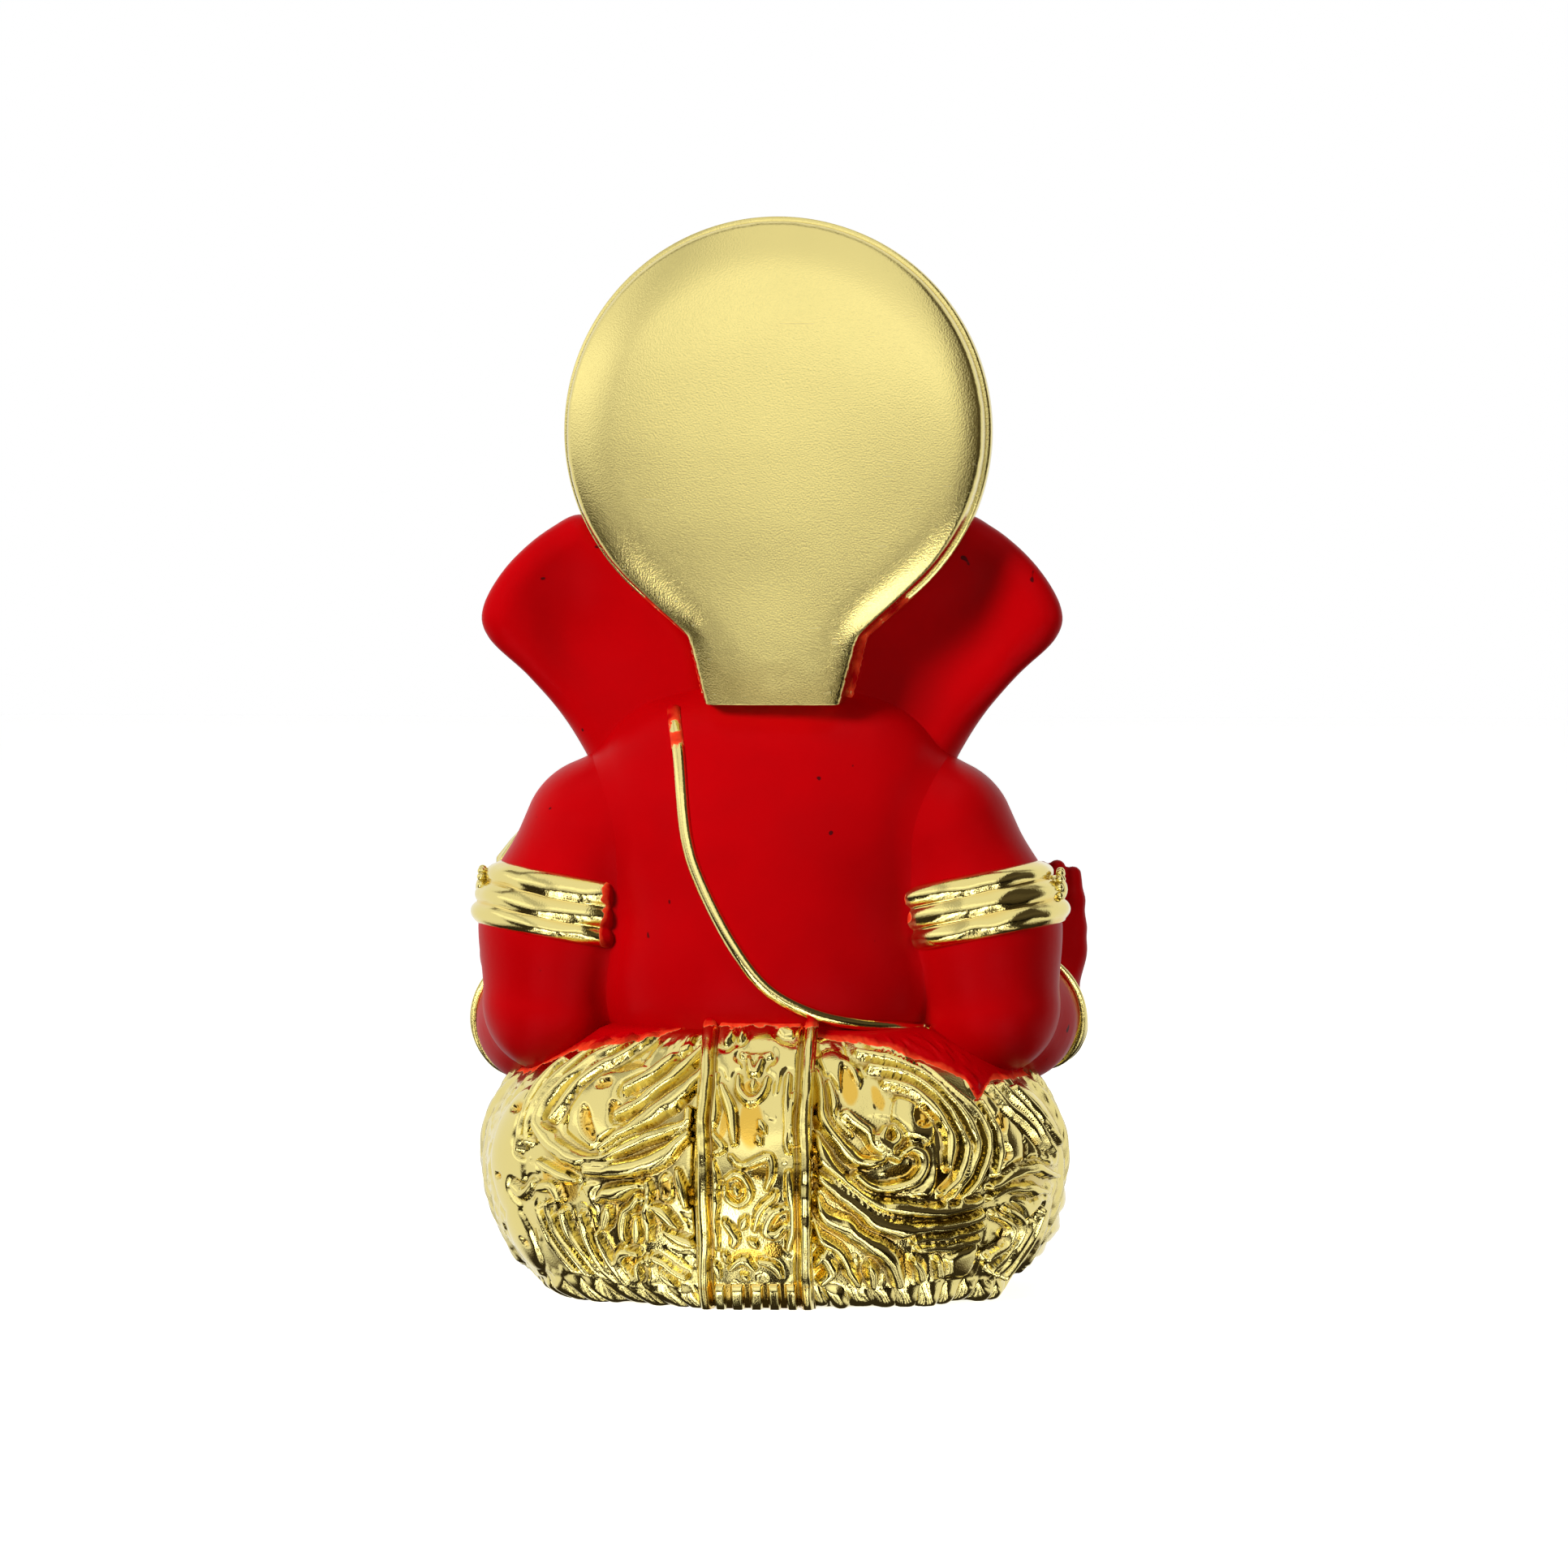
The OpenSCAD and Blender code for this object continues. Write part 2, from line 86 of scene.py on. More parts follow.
WAIST = TORSO[0][2]
NAPE = PLATE[0][2]
TOP = PLATE[1][2]
TORSO_H = NAPE - WAIST
HALO_R = (PLATE[1][0] - PLATE[0][0]) / 2
DISC_Z = TOP - HALO_R
STEM_Z = NAPE + 5.6
HALF_SEAT = np.array([(SEAT[1][0] - SEAT[0][0]) / 2, (SEAT[1][1] - SEAT[0][1]) / 2])
SEAT_Y = (SEAT[1][1] + SEAT[0][1]) / 2
HALF_TORSO = np.array([(TORSO[1][0] - TORSO[0][0]) / 2, (TORSO[1][1] - TORSO[0][1]) / 2])


# ---------- sizes and colours that a user would change ----------

class SeatSizes(bpy.types.PropertyGroup):
    relief: FloatProperty(name="Relief", description="Height of the folds cast into the cloth, in mm",
                          default=1.0, min=0.1, max=1.2)
    fold_pitch: FloatProperty(name="Fold pitch", description="Distance between two folds, in mm",
                              default=1.35, min=0.8, max=2.5)
    hem_pitch: FloatProperty(name="Hem pitch", description="Distance between two petals of the hem, in mm",
                             default=2.5, min=1.0, max=3.0)


class BodySizes(bpy.types.PropertyGroup):
    skin_step: FloatProperty(name="Skin step", description="Spacing of the sculpted skin's points, in mm",
                             default=0.36, min=0.2, max=1.0)
    elbow: FloatProperty(name="Elbow", description="Radius of each elbow, in mm",
                         default=5.9, min=4.0, max=8.0)
    wrist: FloatProperty(name="Wrist", description="Radius of each wrist, in mm",
                         default=4.1, min=2.5, max=5.0)
    thread: FloatProperty(name="Thread", description="Width of the sacred thread, in mm",
                          default=1.1, min=0.5, max=1.5)
    armlet_ridges: IntProperty(name="Armlet ridges", description="Ridges that run round each armlet",
                               default=3, min=2, max=7)


class HaloSizes(bpy.types.PropertyGroup):
    rim: FloatProperty(name="Rim", description="Width of the bevelled rim, in mm",
                       default=0.38, min=0.2, max=1.0)
    rays: IntProperty(name="Rays", description="Rays on the halo's front", default=36, min=12, max=72)
    rim_beads: IntProperty(name="Rim beads", description="Beads round the halo's front",
                           default=66, min=20, max=120)


class Finishes(bpy.types.PropertyGroup):
    gold: FloatVectorProperty(name="Gold", description="Colour of the plating, as sRGB",
                              subtype="COLOR_GAMMA", size=3, default=(0.93, 0.865, 0.555), min=0, max=1)
    red: FloatVectorProperty(name="Red", description="Colour of the paint, as sRGB",
                             subtype="COLOR_GAMMA", size=3, default=(0.70, 0.0, 0.02), min=0, max=1)
    worn: BoolProperty(name="Worn", description="Show fine scratches and specks in the plating", default=True)


def idol_settings():
    return bpy.context.scene


# ---------- solid forms as fields: negative inside, in millimetres ----------

def blob(centre, radii):
    """An ellipsoid."""
    c = np.array(centre, "f4")
    r = np.ones(3, "f4") * np.array(radii, "f4")

    def field(p):
        q = (p - c) / r
        near = np.sqrt((q * q).sum(-1)) + 1e-6
        slope = np.sqrt(((q / r) ** 2).sum(-1)) + 1e-6
        return near * (near - 1) / slope
    return field


def bone(a, b, ra, rb):
    """A straight length with round ends, from radius ra to rb."""
    a, b = np.array(a, "f4"), np.array(b, "f4")
    along = b - a
    span = float(along @ along) + 1e-9

    def field(p):
        t = np.clip(((p - a) @ along) / span, 0, 1)
        q = p - a - t[..., None] * along
        return np.sqrt((q * q).sum(-1)) - (ra + (rb - ra) * t)
    return field


def melt(a, b, k):
    """Least of two distances, with the crease between them filled over the width k."""
    h = np.maximum(k - np.abs(a - b), 0) / max(k, 1e-6)
    return np.minimum(a, b) - h * h * k / 4


def join(k, *fields):
    def field(p):
        d = fields[0](p)
        for f in fields[1:]:
            d = melt(d, f(p), k)
        return d
    return field


def carve(body, tool, k):
    """The body with the tool's form taken out of it, and the edge rounded over k."""
    return lambda p: -melt(-body(p), tool(p), k)


def limb(points, radii, k=0.8):
    """A limb through points, with a radius at each."""
    parts = [bone(points[i], points[i + 1], radii[i], radii[i + 1]) for i in range(len(points) - 1)]
    return join(k, *parts)


def mirrored(point, side):
    return np.array([point[0] * side, point[1], point[2]], float)


def spline(points, count):
    """A smooth run of count points through the given ones."""
    pts = np.array(points, float)
    pad = np.vstack([2 * pts[0] - pts[1], pts, 2 * pts[-1] - pts[-2]])
    out = []
    for t in np.linspace(0, len(pts) - 1, count):
        i = min(int(t), len(pts) - 2)
        f = t - i
        a, b, c, d = pad[i:i + 4]
        out.append(0.5 * (2 * b + (c - a) * f + (2 * a - 5 * b + 4 * c - d) * f ** 2
                          + (3 * b - a - 3 * c + d) * f ** 3))
    return np.array(out)


def turn(count):
    """Angles spaced evenly round a full turn."""
    return np.linspace(0, 2 * math.pi, count, endpoint=False)


def spokes(axis, angle):
    """An axis of length one, and the directions square to it at the given angles round it."""
    axis = np.array(axis, float) / np.linalg.norm(axis)
    first = np.cross(axis, (0.1, 1.0, 0.05))
    first /= np.linalg.norm(first)
    second = np.cross(axis, first)
    return axis, np.cos(angle)[..., None] * first + np.sin(angle)[..., None] * second


def reach_skin(field, start, way, rounds=14):
    """Distance to a field's surface from each start along its direction."""
    reach = np.full(way.shape[:-1], 1.0)
    for _ in range(rounds):
        reach = np.clip(reach - field(start + way * reach[..., None]) * 0.9, 0.3, 14)
    return reach


def grid_reader(values, xs, zs, step):
    """Reads a flat grid of values at any place, between its points."""
    def read(x, z):
        i = np.clip((x - xs[0]) / step, 0, len(xs) - 1.001)
        j = np.clip((z - zs[0]) / step, 0, len(zs) - 1.001)
        i0, j0 = i.astype(int), j.astype(int)
        f, g = i - i0, j - j0
        return (values[i0, j0] * (1 - f) + values[i0 + 1, j0] * f) * (1 - g) \
            + (values[i0, j0 + 1] * (1 - f) + values[i0 + 1, j0 + 1] * f) * g
    return read


def gradient(field, p, reach=0.06):
    steps = np.eye(3, dtype="f4") * reach
    return np.stack([(field(p + s) - field(p - s)) / (2 * reach) for s in steps], -1)


def settle(field, p, rounds=2):
    """Points moved onto the field's surface, and the surface's normals there."""
    for _ in range(rounds):
        g = gradient(field, p)
        move = field(p) / np.maximum((g * g).sum(-1), 0.2)
        p = p - g * np.clip(move, -0.5, 0.5)[:, None]
    g = gradient(field, p)
    return p, g / np.maximum(np.linalg.norm(g, axis=-1, keepdims=True), 1e-6)


def skin(field, low, high, step):
    """Quads over a field's surface inside a box: one point for each cell that the surface crosses."""
    origin = np.array(low, "f4") - 2 * step
    axes = [np.arange(o, h + 3 * step, step, dtype="f4") for o, h in zip(origin, high)]
    d = np.empty([len(a) for a in axes], "f4")
    yz = np.stack(np.meshgrid(axes[1], axes[2], indexing="ij"), -1)
    for start in range(0, len(axes[0]), 32):
        xs = axes[0][start:start + 32]
        block = np.empty((len(xs), *yz.shape[:2], 3), "f4")
        block[..., 0] = xs[:, None, None]
        block[..., 1:] = yz
        d[start:start + 32] = field(block)
    for end in (0, -1):
        d[end], d[:, end], d[:, :, end] = step, step, step
    inside = d < 0
    corners = [(i, j, k) for i in (0, 1) for j in (0, 1) for k in (0, 1)]

    def shifted(c):
        return inside[tuple(slice(v, n - 1 + v) for v, n in zip(c, inside.shape))]
    held = sum(shifted(c).astype("i1") for c in corners)
    active = (held > 0) & (held < 8)
    cells = np.argwhere(active)
    index = np.full(active.shape, -1)
    index[active] = np.arange(len(cells))
    total = np.zeros((len(cells), 3))
    hits = np.zeros(len(cells))
    for a in corners:
        for axis in range(3):
            if a[axis]:
                continue
            b = np.array(a)
            b[axis] = 1
            da, db = d[tuple((cells + a).T)], d[tuple((cells + b).T)]
            crossed = (da < 0) != (db < 0)
            t = np.where(crossed, da / np.where(crossed, da - db, 1), 0)
            total += crossed[:, None] * (np.array(a) + t[:, None] * np.eye(3)[axis])
            hits += crossed
    points = origin + (cells + total / hits[:, None]) * step
    quads = []
    for axis in range(3):
        u, v = np.eye(3, dtype=int)[(axis + 1) % 3], np.eye(3, dtype=int)[(axis + 2) % 3]
        first = inside[tuple(slice(0, -1) if i == axis else slice(None) for i in range(3))]
        second = inside[tuple(slice(1, None) if i == axis else slice(None) for i in range(3))]
        at = np.argwhere(first != second)
        ring = np.stack([index[tuple((at - o).T)] for o in (0 * u, u, u + v, v)], -1)
        outward = first[tuple(at.T)]
        quads.append(np.where(outward[:, None], ring, ring[:, ::-1]))
    return points.astype("f4"), np.vstack(quads)


def grid_faces(nu, nv, wrap=True):
    """Quads of a grid of points; u may go all the way round."""
    u = np.arange(nu if wrap else nu - 1)
    a, j = np.meshgrid(u, np.arange(nv - 1), indexing="ij")
    b = (a + 1) % nu
    return np.stack([a * nv + j, b * nv + j, b * nv + j + 1, a * nv + j + 1], -1).reshape(-1, 4)


def closed_grid(points):
    """Faces of a grid that goes round in u, and is closed at both ends of v with a fan to a middle point."""
    nu, nv = points.shape[:2]
    flat = points.reshape(-1, 3)
    ends = np.stack([points[:, 0].mean(0), points[:, -1].mean(0)])
    faces = grid_faces(nu, nv).tolist()
    for i in range(nu):
        k = (i + 1) % nu
        faces.append([nu * nv, k * nv, i * nv])
        faces.append([nu * nv + 1, i * nv + nv - 1, k * nv + nv - 1])
    return np.vstack([flat, ends]), faces


def grid_normals(points):
    du = np.roll(points, -1, 0) - np.roll(points, 1, 0)
    dv = np.gradient(points, axis=1)
    n = np.cross(du, dv)
    return n / np.maximum(np.linalg.norm(n, axis=-1, keepdims=True), 1e-9)


# ---------- patterns for relief ----------

def smoothstep(low, high, x):
    t = np.clip((x - low) / (high - low), 0, 1)
    return t * t * (3 - 2 * t)


def noise(p, size, seed=0):
    """Smooth value noise between -1 and 1, with lumps about size across."""
    q = np.asarray(p, float) / size
    cell = np.floor(q).astype(np.int64)
    f = q - cell
    f = f * f * (3 - 2 * f)
    primes = np.array([73856093, 19349663, 83492791][:q.shape[-1]], np.int64)
    out = 0
    for corner in np.ndindex(*(2,) * q.shape[-1]):
        c = np.array(corner)
        h = ((cell + c) * primes).sum(-1) + seed * 2654435761
        h = (h ^ (h >> 13)) * 1274126177
        h = ((h ^ (h >> 16)) & 0xFFFF) / 32767.5 - 1
        out = out + h * np.prod(np.where(c == 1, f, 1 - f), -1)
    return out


def path_distance(uv, path):
    """Distance to a run of points in the plane, and how far along it the nearest place is (0 to 1)."""
    best = np.full(uv.shape[:-1], 1e9)
    where = np.zeros(uv.shape[:-1])
    n = len(path) - 1
    for i in range(n):
        a, b = path[i], path[i + 1]
        along = b - a
        t = np.clip(((uv - a) @ along) / (along @ along + 1e-9), 0, 1)
        d = np.linalg.norm(uv - a - t[..., None] * along, axis=-1)
        closer = d < best
        best = np.where(closer, d, best)
        where = np.where(closer, (i + t) / n, where)
    return best, where


def fold(distance, pitch):
    """Rounded folds with narrow grooves between them, from 0 to 1."""
    return np.abs(np.cos(np.pi * distance / pitch)) ** 0.7


# ---------- making a piece ----------

PIECES = []


def paint_depth(distance):
    """Distance inside the painted area, in mm, kept to what the finishes read."""
    return np.clip(distance, BARE, PAINTED)


def put(name, points, faces, material, node=None, paint=BARE, depth=0.0):
    """A finished piece, with its points in mm. Paint and depth are one value, or one for each point."""
    mesh = bpy.data.meshes.new(name)
    mesh.from_pydata((np.asarray(points, float) * MM).tolist(), [], [list(map(int, f)) for f in faces])
    mesh.validate()
    return finish_piece(name, mesh, material, node, paint, depth)


def finish_piece(name, mesh, material, node=None, paint=BARE, depth=0.0):
    """Makes a mesh into a piece, with its finish and its place in the frame."""
    material = finish(material)
    piece = bpy.data.objects.new(name, mesh)
    bpy.context.collection.objects.link(piece)
    # recess drives the plating's colour: above 0 a painted shade of deeper, more orange gold in recesses;
    # below 0 brown, the painted shade of narrow valleys
    for label, value in (("paint", paint), ("recess", depth)):
        layer = mesh.attributes.get(label) or mesh.attributes.new(label, "FLOAT", "POINT")
        values = np.ones(len(mesh.vertices)) * value
        layer.data.foreach_set("value", values.astype("f4"))
    mesh.materials.clear()
    mesh.materials.append(material)
    mesh.shade_smooth()
    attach(piece, "root")
    if node:
        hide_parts(*([node] if isinstance(node, str) else node))
    PIECES.append(piece)
    return piece


# ---------- node trees ----------

def add(tree, kind, inputs=None, **settings):
    """Adds a node, sets its settings and fills its inputs with values or links."""
    item = tree.nodes.new(kind)
    for key, value in settings.items():
        setattr(item, key, value)
    for key, value in (inputs or {}).items():
        if isinstance(value, bpy.types.NodeSocket):
            tree.links.new(value, item.inputs[key])
        else:
            item.inputs[key].default_value = value
    return item


def blend(tree, share, first, second):
    """A colour between two others."""
    return add(tree, "ShaderNodeMix", {0: share, 6: first, 7: second}, data_type="RGBA").outputs[2]


def between(tree, share, first, second):
    """A value between two others."""
    return add(tree, "ShaderNodeMix", {0: share, 2: first, 3: second}).outputs[0]


def maths(tree, operation, *values):
    return add(tree, "ShaderNodeMath", dict(enumerate(values)), operation=operation).outputs[0]


def ramp(tree, value, low, high, to_low=0.0, to_high=1.0, curve="LINEAR"):
    """A value's way from low to high, turned into the way from to_low to to_high."""
    inputs = {"Value": value, "From Min": low, "From Max": high, "To Min": to_low, "To Max": to_high}
    return add(tree, "ShaderNodeMapRange", inputs, interpolation_type=curve).outputs[0]


def cloud(tree, where, size, detail):
    """Noise from 0 to 1, with lumps of a size in mm."""
    inputs = {"Vector": where, "Scale": per_mm(size), "Detail": detail}
    return add(tree, "ShaderNodeTexNoise", inputs).outputs["Fac"]


def object_place(tree):
    return add(tree, "ShaderNodeTexCoord").outputs["Object"]


def bumps(tree, height, strength, distance):
    """A surface roughened by a height, over a distance in metres."""
    inputs = {"Strength": strength, "Distance": distance, "Height": height}
    return add(tree, "ShaderNodeBump", inputs).outputs[0]


def end_material(tree, inputs):
    """Ends a material in one principled shader."""
    shader = add(tree, "ShaderNodeBsdfPrincipled", inputs)
    add(tree, "ShaderNodeOutputMaterial", {"Surface": shader.outputs[0]})


def darker(colour, share):
    return [c * share for c in colour[:3]] + [1]


def linear(colour):
    """An sRGB colour, as hex or as three parts, turned linear."""
    if isinstance(colour, str):
        colour = [int(colour[i:i + 2], 16) / 255 for i in (1, 3, 5)]
    return [c / 12.92 if c <= 0.04045 else ((c + 0.055) / 1.055) ** 2.4 for c in colour] + [1.0]


def new_material(name, slot):
    material = bpy.data.materials.new(name)
    material.use_nodes = True
    material["slot"] = slot
    tree = material.node_tree
    tree.nodes.clear()
    return material, tree


def per_mm(size):
    """Noise scale on object coordinates, which are metres, for lumps of a size in mm."""
    return 1000.0 / size


# ---------- finishes ----------

# roughness of the paint's satin skin
PAINT_SHINE = 0.36


def plated(name, slot, shine, grain):
    """Vacuum-plated gold over a smooth casting, sprayed red where paint is above 0. The plating gives sharp,
    warm reflections; the paint is a satin skin that goes orange where it is thin."""
    looks = idol_settings().idol_finishes
    material, tree = new_material(name, slot)
    where = object_place(tree)
    paint = add(tree, "ShaderNodeAttribute", attribute_name="paint").outputs["Fac"]
    recess = add(tree, "ShaderNodeAttribute", attribute_name="recess").outputs["Fac"]

    # the paint's edge wanders by a third of a millimetre
    edge = maths(tree, "MULTIPLY_ADD", cloud(tree, where, 1.1, 3.0), 0.9, paint)
    edge = maths(tree, "SUBTRACT", edge, 0.45)
    painted = ramp(tree, edge, -0.02, 0.05)
    thick = ramp(tree, edge, 0.0, 0.5)

    # plating: a little paler and deeper in patches a few millimetres wide; and a painted shade, deeper and
    # more orange, in the recesses and hammered pits, where light bounces between the walls
    plating = linear(looks.gold)
    gold = blend(tree, cloud(tree, where, 6.0, 2.0), darker(plating, 0.93), plating)
    gold = blend(tree, recess, gold, linear("#E6BC50"))
    # below 0, recess turns the plating brown: painted shade at the bottom of narrow valleys, and the browner
    # foot of the halo
    gold = blend(tree, ramp(tree, recess, -0.2, -1.4), gold, linear("#8A5E12"))

    # paint: cloudy by a few per cent, orange where it is thin
    mist = cloud(tree, where, 4.0, 4.0)
    coat = linear(looks.red)
    red = blend(tree, mist, darker(coat, 0.8), coat)
    red = blend(tree, thick, linear("#EE4A26"), red)
    if looks.worn:
        # dark specks of dust caught in the paint
        dust = ramp(tree, cloud(tree, where, 0.9, 0.0), 0.86, 0.89)
        red = blend(tree, dust, red, linear("#4A0508"))
    colour = blend(tree, painted, gold, red)
    metal = maths(tree, "SUBTRACT", 1.0, painted)

    # surface: a fine grain in the plating, and the soft orange peel of spray paint
    fine = cloud(tree, where, 0.14, 2.0)
    peel = cloud(tree, where, 0.9, 1.0)
    gold_rough = ramp(tree, fine, 0.0, 1.0, shine * 0.75, shine * 1.25)
    red_rough = ramp(tree, mist, 0.0, 1.0, PAINT_SHINE - 0.06, PAINT_SHINE + 0.08)
    rough = between(tree, painted, gold_rough, red_rough)
    if looks.worn:
        # hair scratches, long in X and a third of a millimetre apart
        stretch = add(tree, "ShaderNodeMapping", {"Vector": where, "Scale": (0.05, 1.0, 1.0)}).outputs[0]
        hair = ramp(tree, cloud(tree, stretch, 0.35, 1.0), 0.76, 0.8, 0.0, 0.1)
        rough = maths(tree, "ADD", rough, hair)
    height = maths(tree, "MULTIPLY_ADD", thick, 0.6, between(tree, painted, fine, peel))
    end_material(tree, {"Base Color": colour, "Metallic": metal, "Roughness": rough,
                        "Normal": bumps(tree, height, grain, 0.00004), "Specular IOR Level": 0.06})
    return material


def enamel(name, slot, hex_colour, dirt_colour, roughness):
    """Brushed gloss enamel: an even colour with a slight tint where the brush left less."""
    material, tree = new_material(name, slot)
    streak = cloud(tree, object_place(tree), 0.8, 3.0)
    colour = blend(tree, ramp(tree, streak, 0.45, 0.75), linear(hex_colour), linear(dirt_colour))
    bump = bumps(tree, streak, 0.3, 0.00003)
    end_material(tree, {"Base Color": colour, "Roughness": roughness, "Normal": bump, "Coat Weight": 0.5,
                        "Coat Roughness": 0.08})
    return material


def wool_felt():
    """Pressed wool felt: matt, with a nap of short crossing hairs."""
    material, tree = new_material("wool_felt", "felt")
    nap = cloud(tree, object_place(tree), 0.3, 5.0)
    colour = blend(tree, nap, linear("#3A0608"), linear("#6E1216"))
    bump = bumps(tree, nap, 0.8, 0.0002)
    end_material(tree, {"Base Color": colour, "Roughness": 0.95, "Normal": bump, "Sheen Weight": 0.4,
                        "Sheen Roughness": 0.5})
    return material


FINISHES = {}


def finish(name):
    """One material of each kind, made the first time it is asked for."""
    makers = {
        GOLD: lambda: plated(GOLD, "gold_plate", 0.09, 0.25),
        SATIN: lambda: plated(SATIN, "gold_satin", 0.24, 0.5),
        RED: lambda: plated(RED, "red_paint", 0.16, 0.35),
        "ivory_enamel": lambda: enamel("ivory_enamel", "ivory_paint", "#EFE3C4", "#C9AE78", 0.3),
        "eye_enamel": lambda: enamel("eye_enamel", "eye_paint", "#F6F3EA", "#D8CDB8", 0.2),
        "paste_stone": lambda: enamel("paste_stone", "stones", "#8E0A1E", "#4E0410", 0.08),
        "wool_felt": wool_felt,
    }
    if name not in FINISHES:
        FINISHES[name] = makers[name]()
    return FINISHES[name]


# ---------- the seat ----------

BULGE_Z = WAIST * 0.51
# the cast cloth sits a little to the idol's left of the body
SEAT_X = 0.8


# width of the foot as a part of the seat's
FOOT_SHARE = 0.69


def seat_share(z):
    """Width of the seat at a height, as a part of its widest."""
    below = FOOT_SHARE + (1 - FOOT_SHARE) * np.sqrt(1 - np.clip((BULGE_Z - z) / BULGE_Z, 0, 1) ** 1.6)
    above = np.sqrt(1 - (0.76 * np.clip((z - BULGE_Z) / (WAIST - BULGE_Z), 0, 1.15)) ** 2)
    return np.where(z < BULGE_Z, below, above)


def paint_line(x):
    """Height at which the red paint of the body stops on the gold cloth; it drips a little on the right."""
    at = [-24, -20, -18, -17, -16, -14, -9.5, -4, -2.4, 6.8, 8, 13, 17, 21, 24]
    line = [18.5, 18.4, 18.4, 16.9, 18.6, 19.6, 21.4, 22.2, 23.2, 23.3, 22.5, 21.5, 20.6, 18.6, 18.2]
    return np.interp(x, at, line)


def knobs(uv, size, seed=0):
    """Small rounded lumps, as in a hammered ground."""
    return np.clip(noise(uv, size, seed) * 1.6, 0, 1) ** 0.6


# The cloth's scrollwork. A strand is (half width, height, points); a point is the arc length round the seat
# from the middle of the back, and the height above the table. The two sides are not alike.
LEFT_STRANDS = [
    (0.45, 0.9, [(5.6, 23.2), (6.6, 21.4), (9.3, 20.2), (12.3, 17.8)]),
    (0.38, 0.7, [(8.4, 22.4), (8.2, 21.0), (7.0, 19.8)]),
    (0.5, 0.95, [(5.3, 21.4), (7.5, 19.6), (10.2, 17.3), (12.2, 16.2)]),
    (0.66, 1.1, [(5.2, 19.2), (7.1, 17.5), (9.3, 16.1), (10.6, 15.0), (13.2, 13.3)]),
    (0.55, 1.0, [(5.9, 16.5), (6.2, 15.2), (9.6, 14.0), (13.1, 12.2), (16.0, 12.2), (19.4, 14.2),
                 (20.2, 15.8), (19.6, 18.0), (17.6, 20.0), (16.0, 21.8)]),
    (0.62, 1.05, [(5.6, 14.7), (7.4, 12.9), (10.2, 11.7), (14.2, 11.3)]),
    (0.4, 0.8, [(13.4, 22.2), (17.6, 18.6), (18.8, 15.4)]),
    (0.4, 0.8, [(19.2, 21.3), (20.3, 19.2), (21.2, 16.0), (20.9, 13.2)]),
    (0.36, 0.7, [(22.0, 19.8), (22.6, 16.6), (22.0, 12.6)]), (0.5, 1.1, [(9.1, 10.6), (9.2, 6.2)]),
    (0.55, 1.1, [(9.8, 10.4), (13.2, 9.1)]), (0.45, 1.0, [(9.9, 9.4), (11.3, 7.8), (11.7, 5.8)]),
    (0.4, 0.9, [(10.2, 7.9), (10.6, 6.0)]), (0.4, 0.9, [(12.6, 8.4), (13.4, 6.9)]),
    (0.45, 1.0, [(8.4, 8.6), (6.6, 7.1)]), (0.4, 0.9, [(7.6, 6.6), (5.4, 5.3)]),
    (0.4, 0.9, [(6.2, 11.6), (5.6, 9.0)]), (0.38, 0.8, [(9.3, 4.6), (6.6, 2.9)]),
    (0.36, 0.8, [(8.6, 3.3), (7.4, 1.8)]),
    (0.45, 1.0, [(10.8, 4.9), (12.0, 5.0), (12.8, 4.0), (12.1, 2.9), (11.0, 3.0), (10.8, 3.9)]),
    (0.42, 0.9, [(17.3, 8.2), (16.9, 5.2), (14.3, 2.0)]),
    (0.42, 0.9, [(15.6, 7.9), (15.2, 4.7), (12.9, 1.4)]),
    (0.4, 0.9, [(14.3, 6.3), (13.5, 3.6), (11.8, 1.6)]),
    (0.4, 0.9, [(18.8, 8.7), (18.4, 5.6), (16.0, 1.6)]),
    (0.36, 0.8, [(20.2, 8.0), (19.6, 4.8), (17.6, 1.8)]),
    (0.4, 0.7, [(19.4, 11.8), (17.6, 11.1), (15.4, 10.6)]),
    (0.42, 0.8, [(20.6, 9.6), (18.4, 10.2), (17.6, 9.2)]),
    (0.4, 0.6, [(23.6, 9.6), (22.2, 9.0), (20.8, 10.2)]),
]
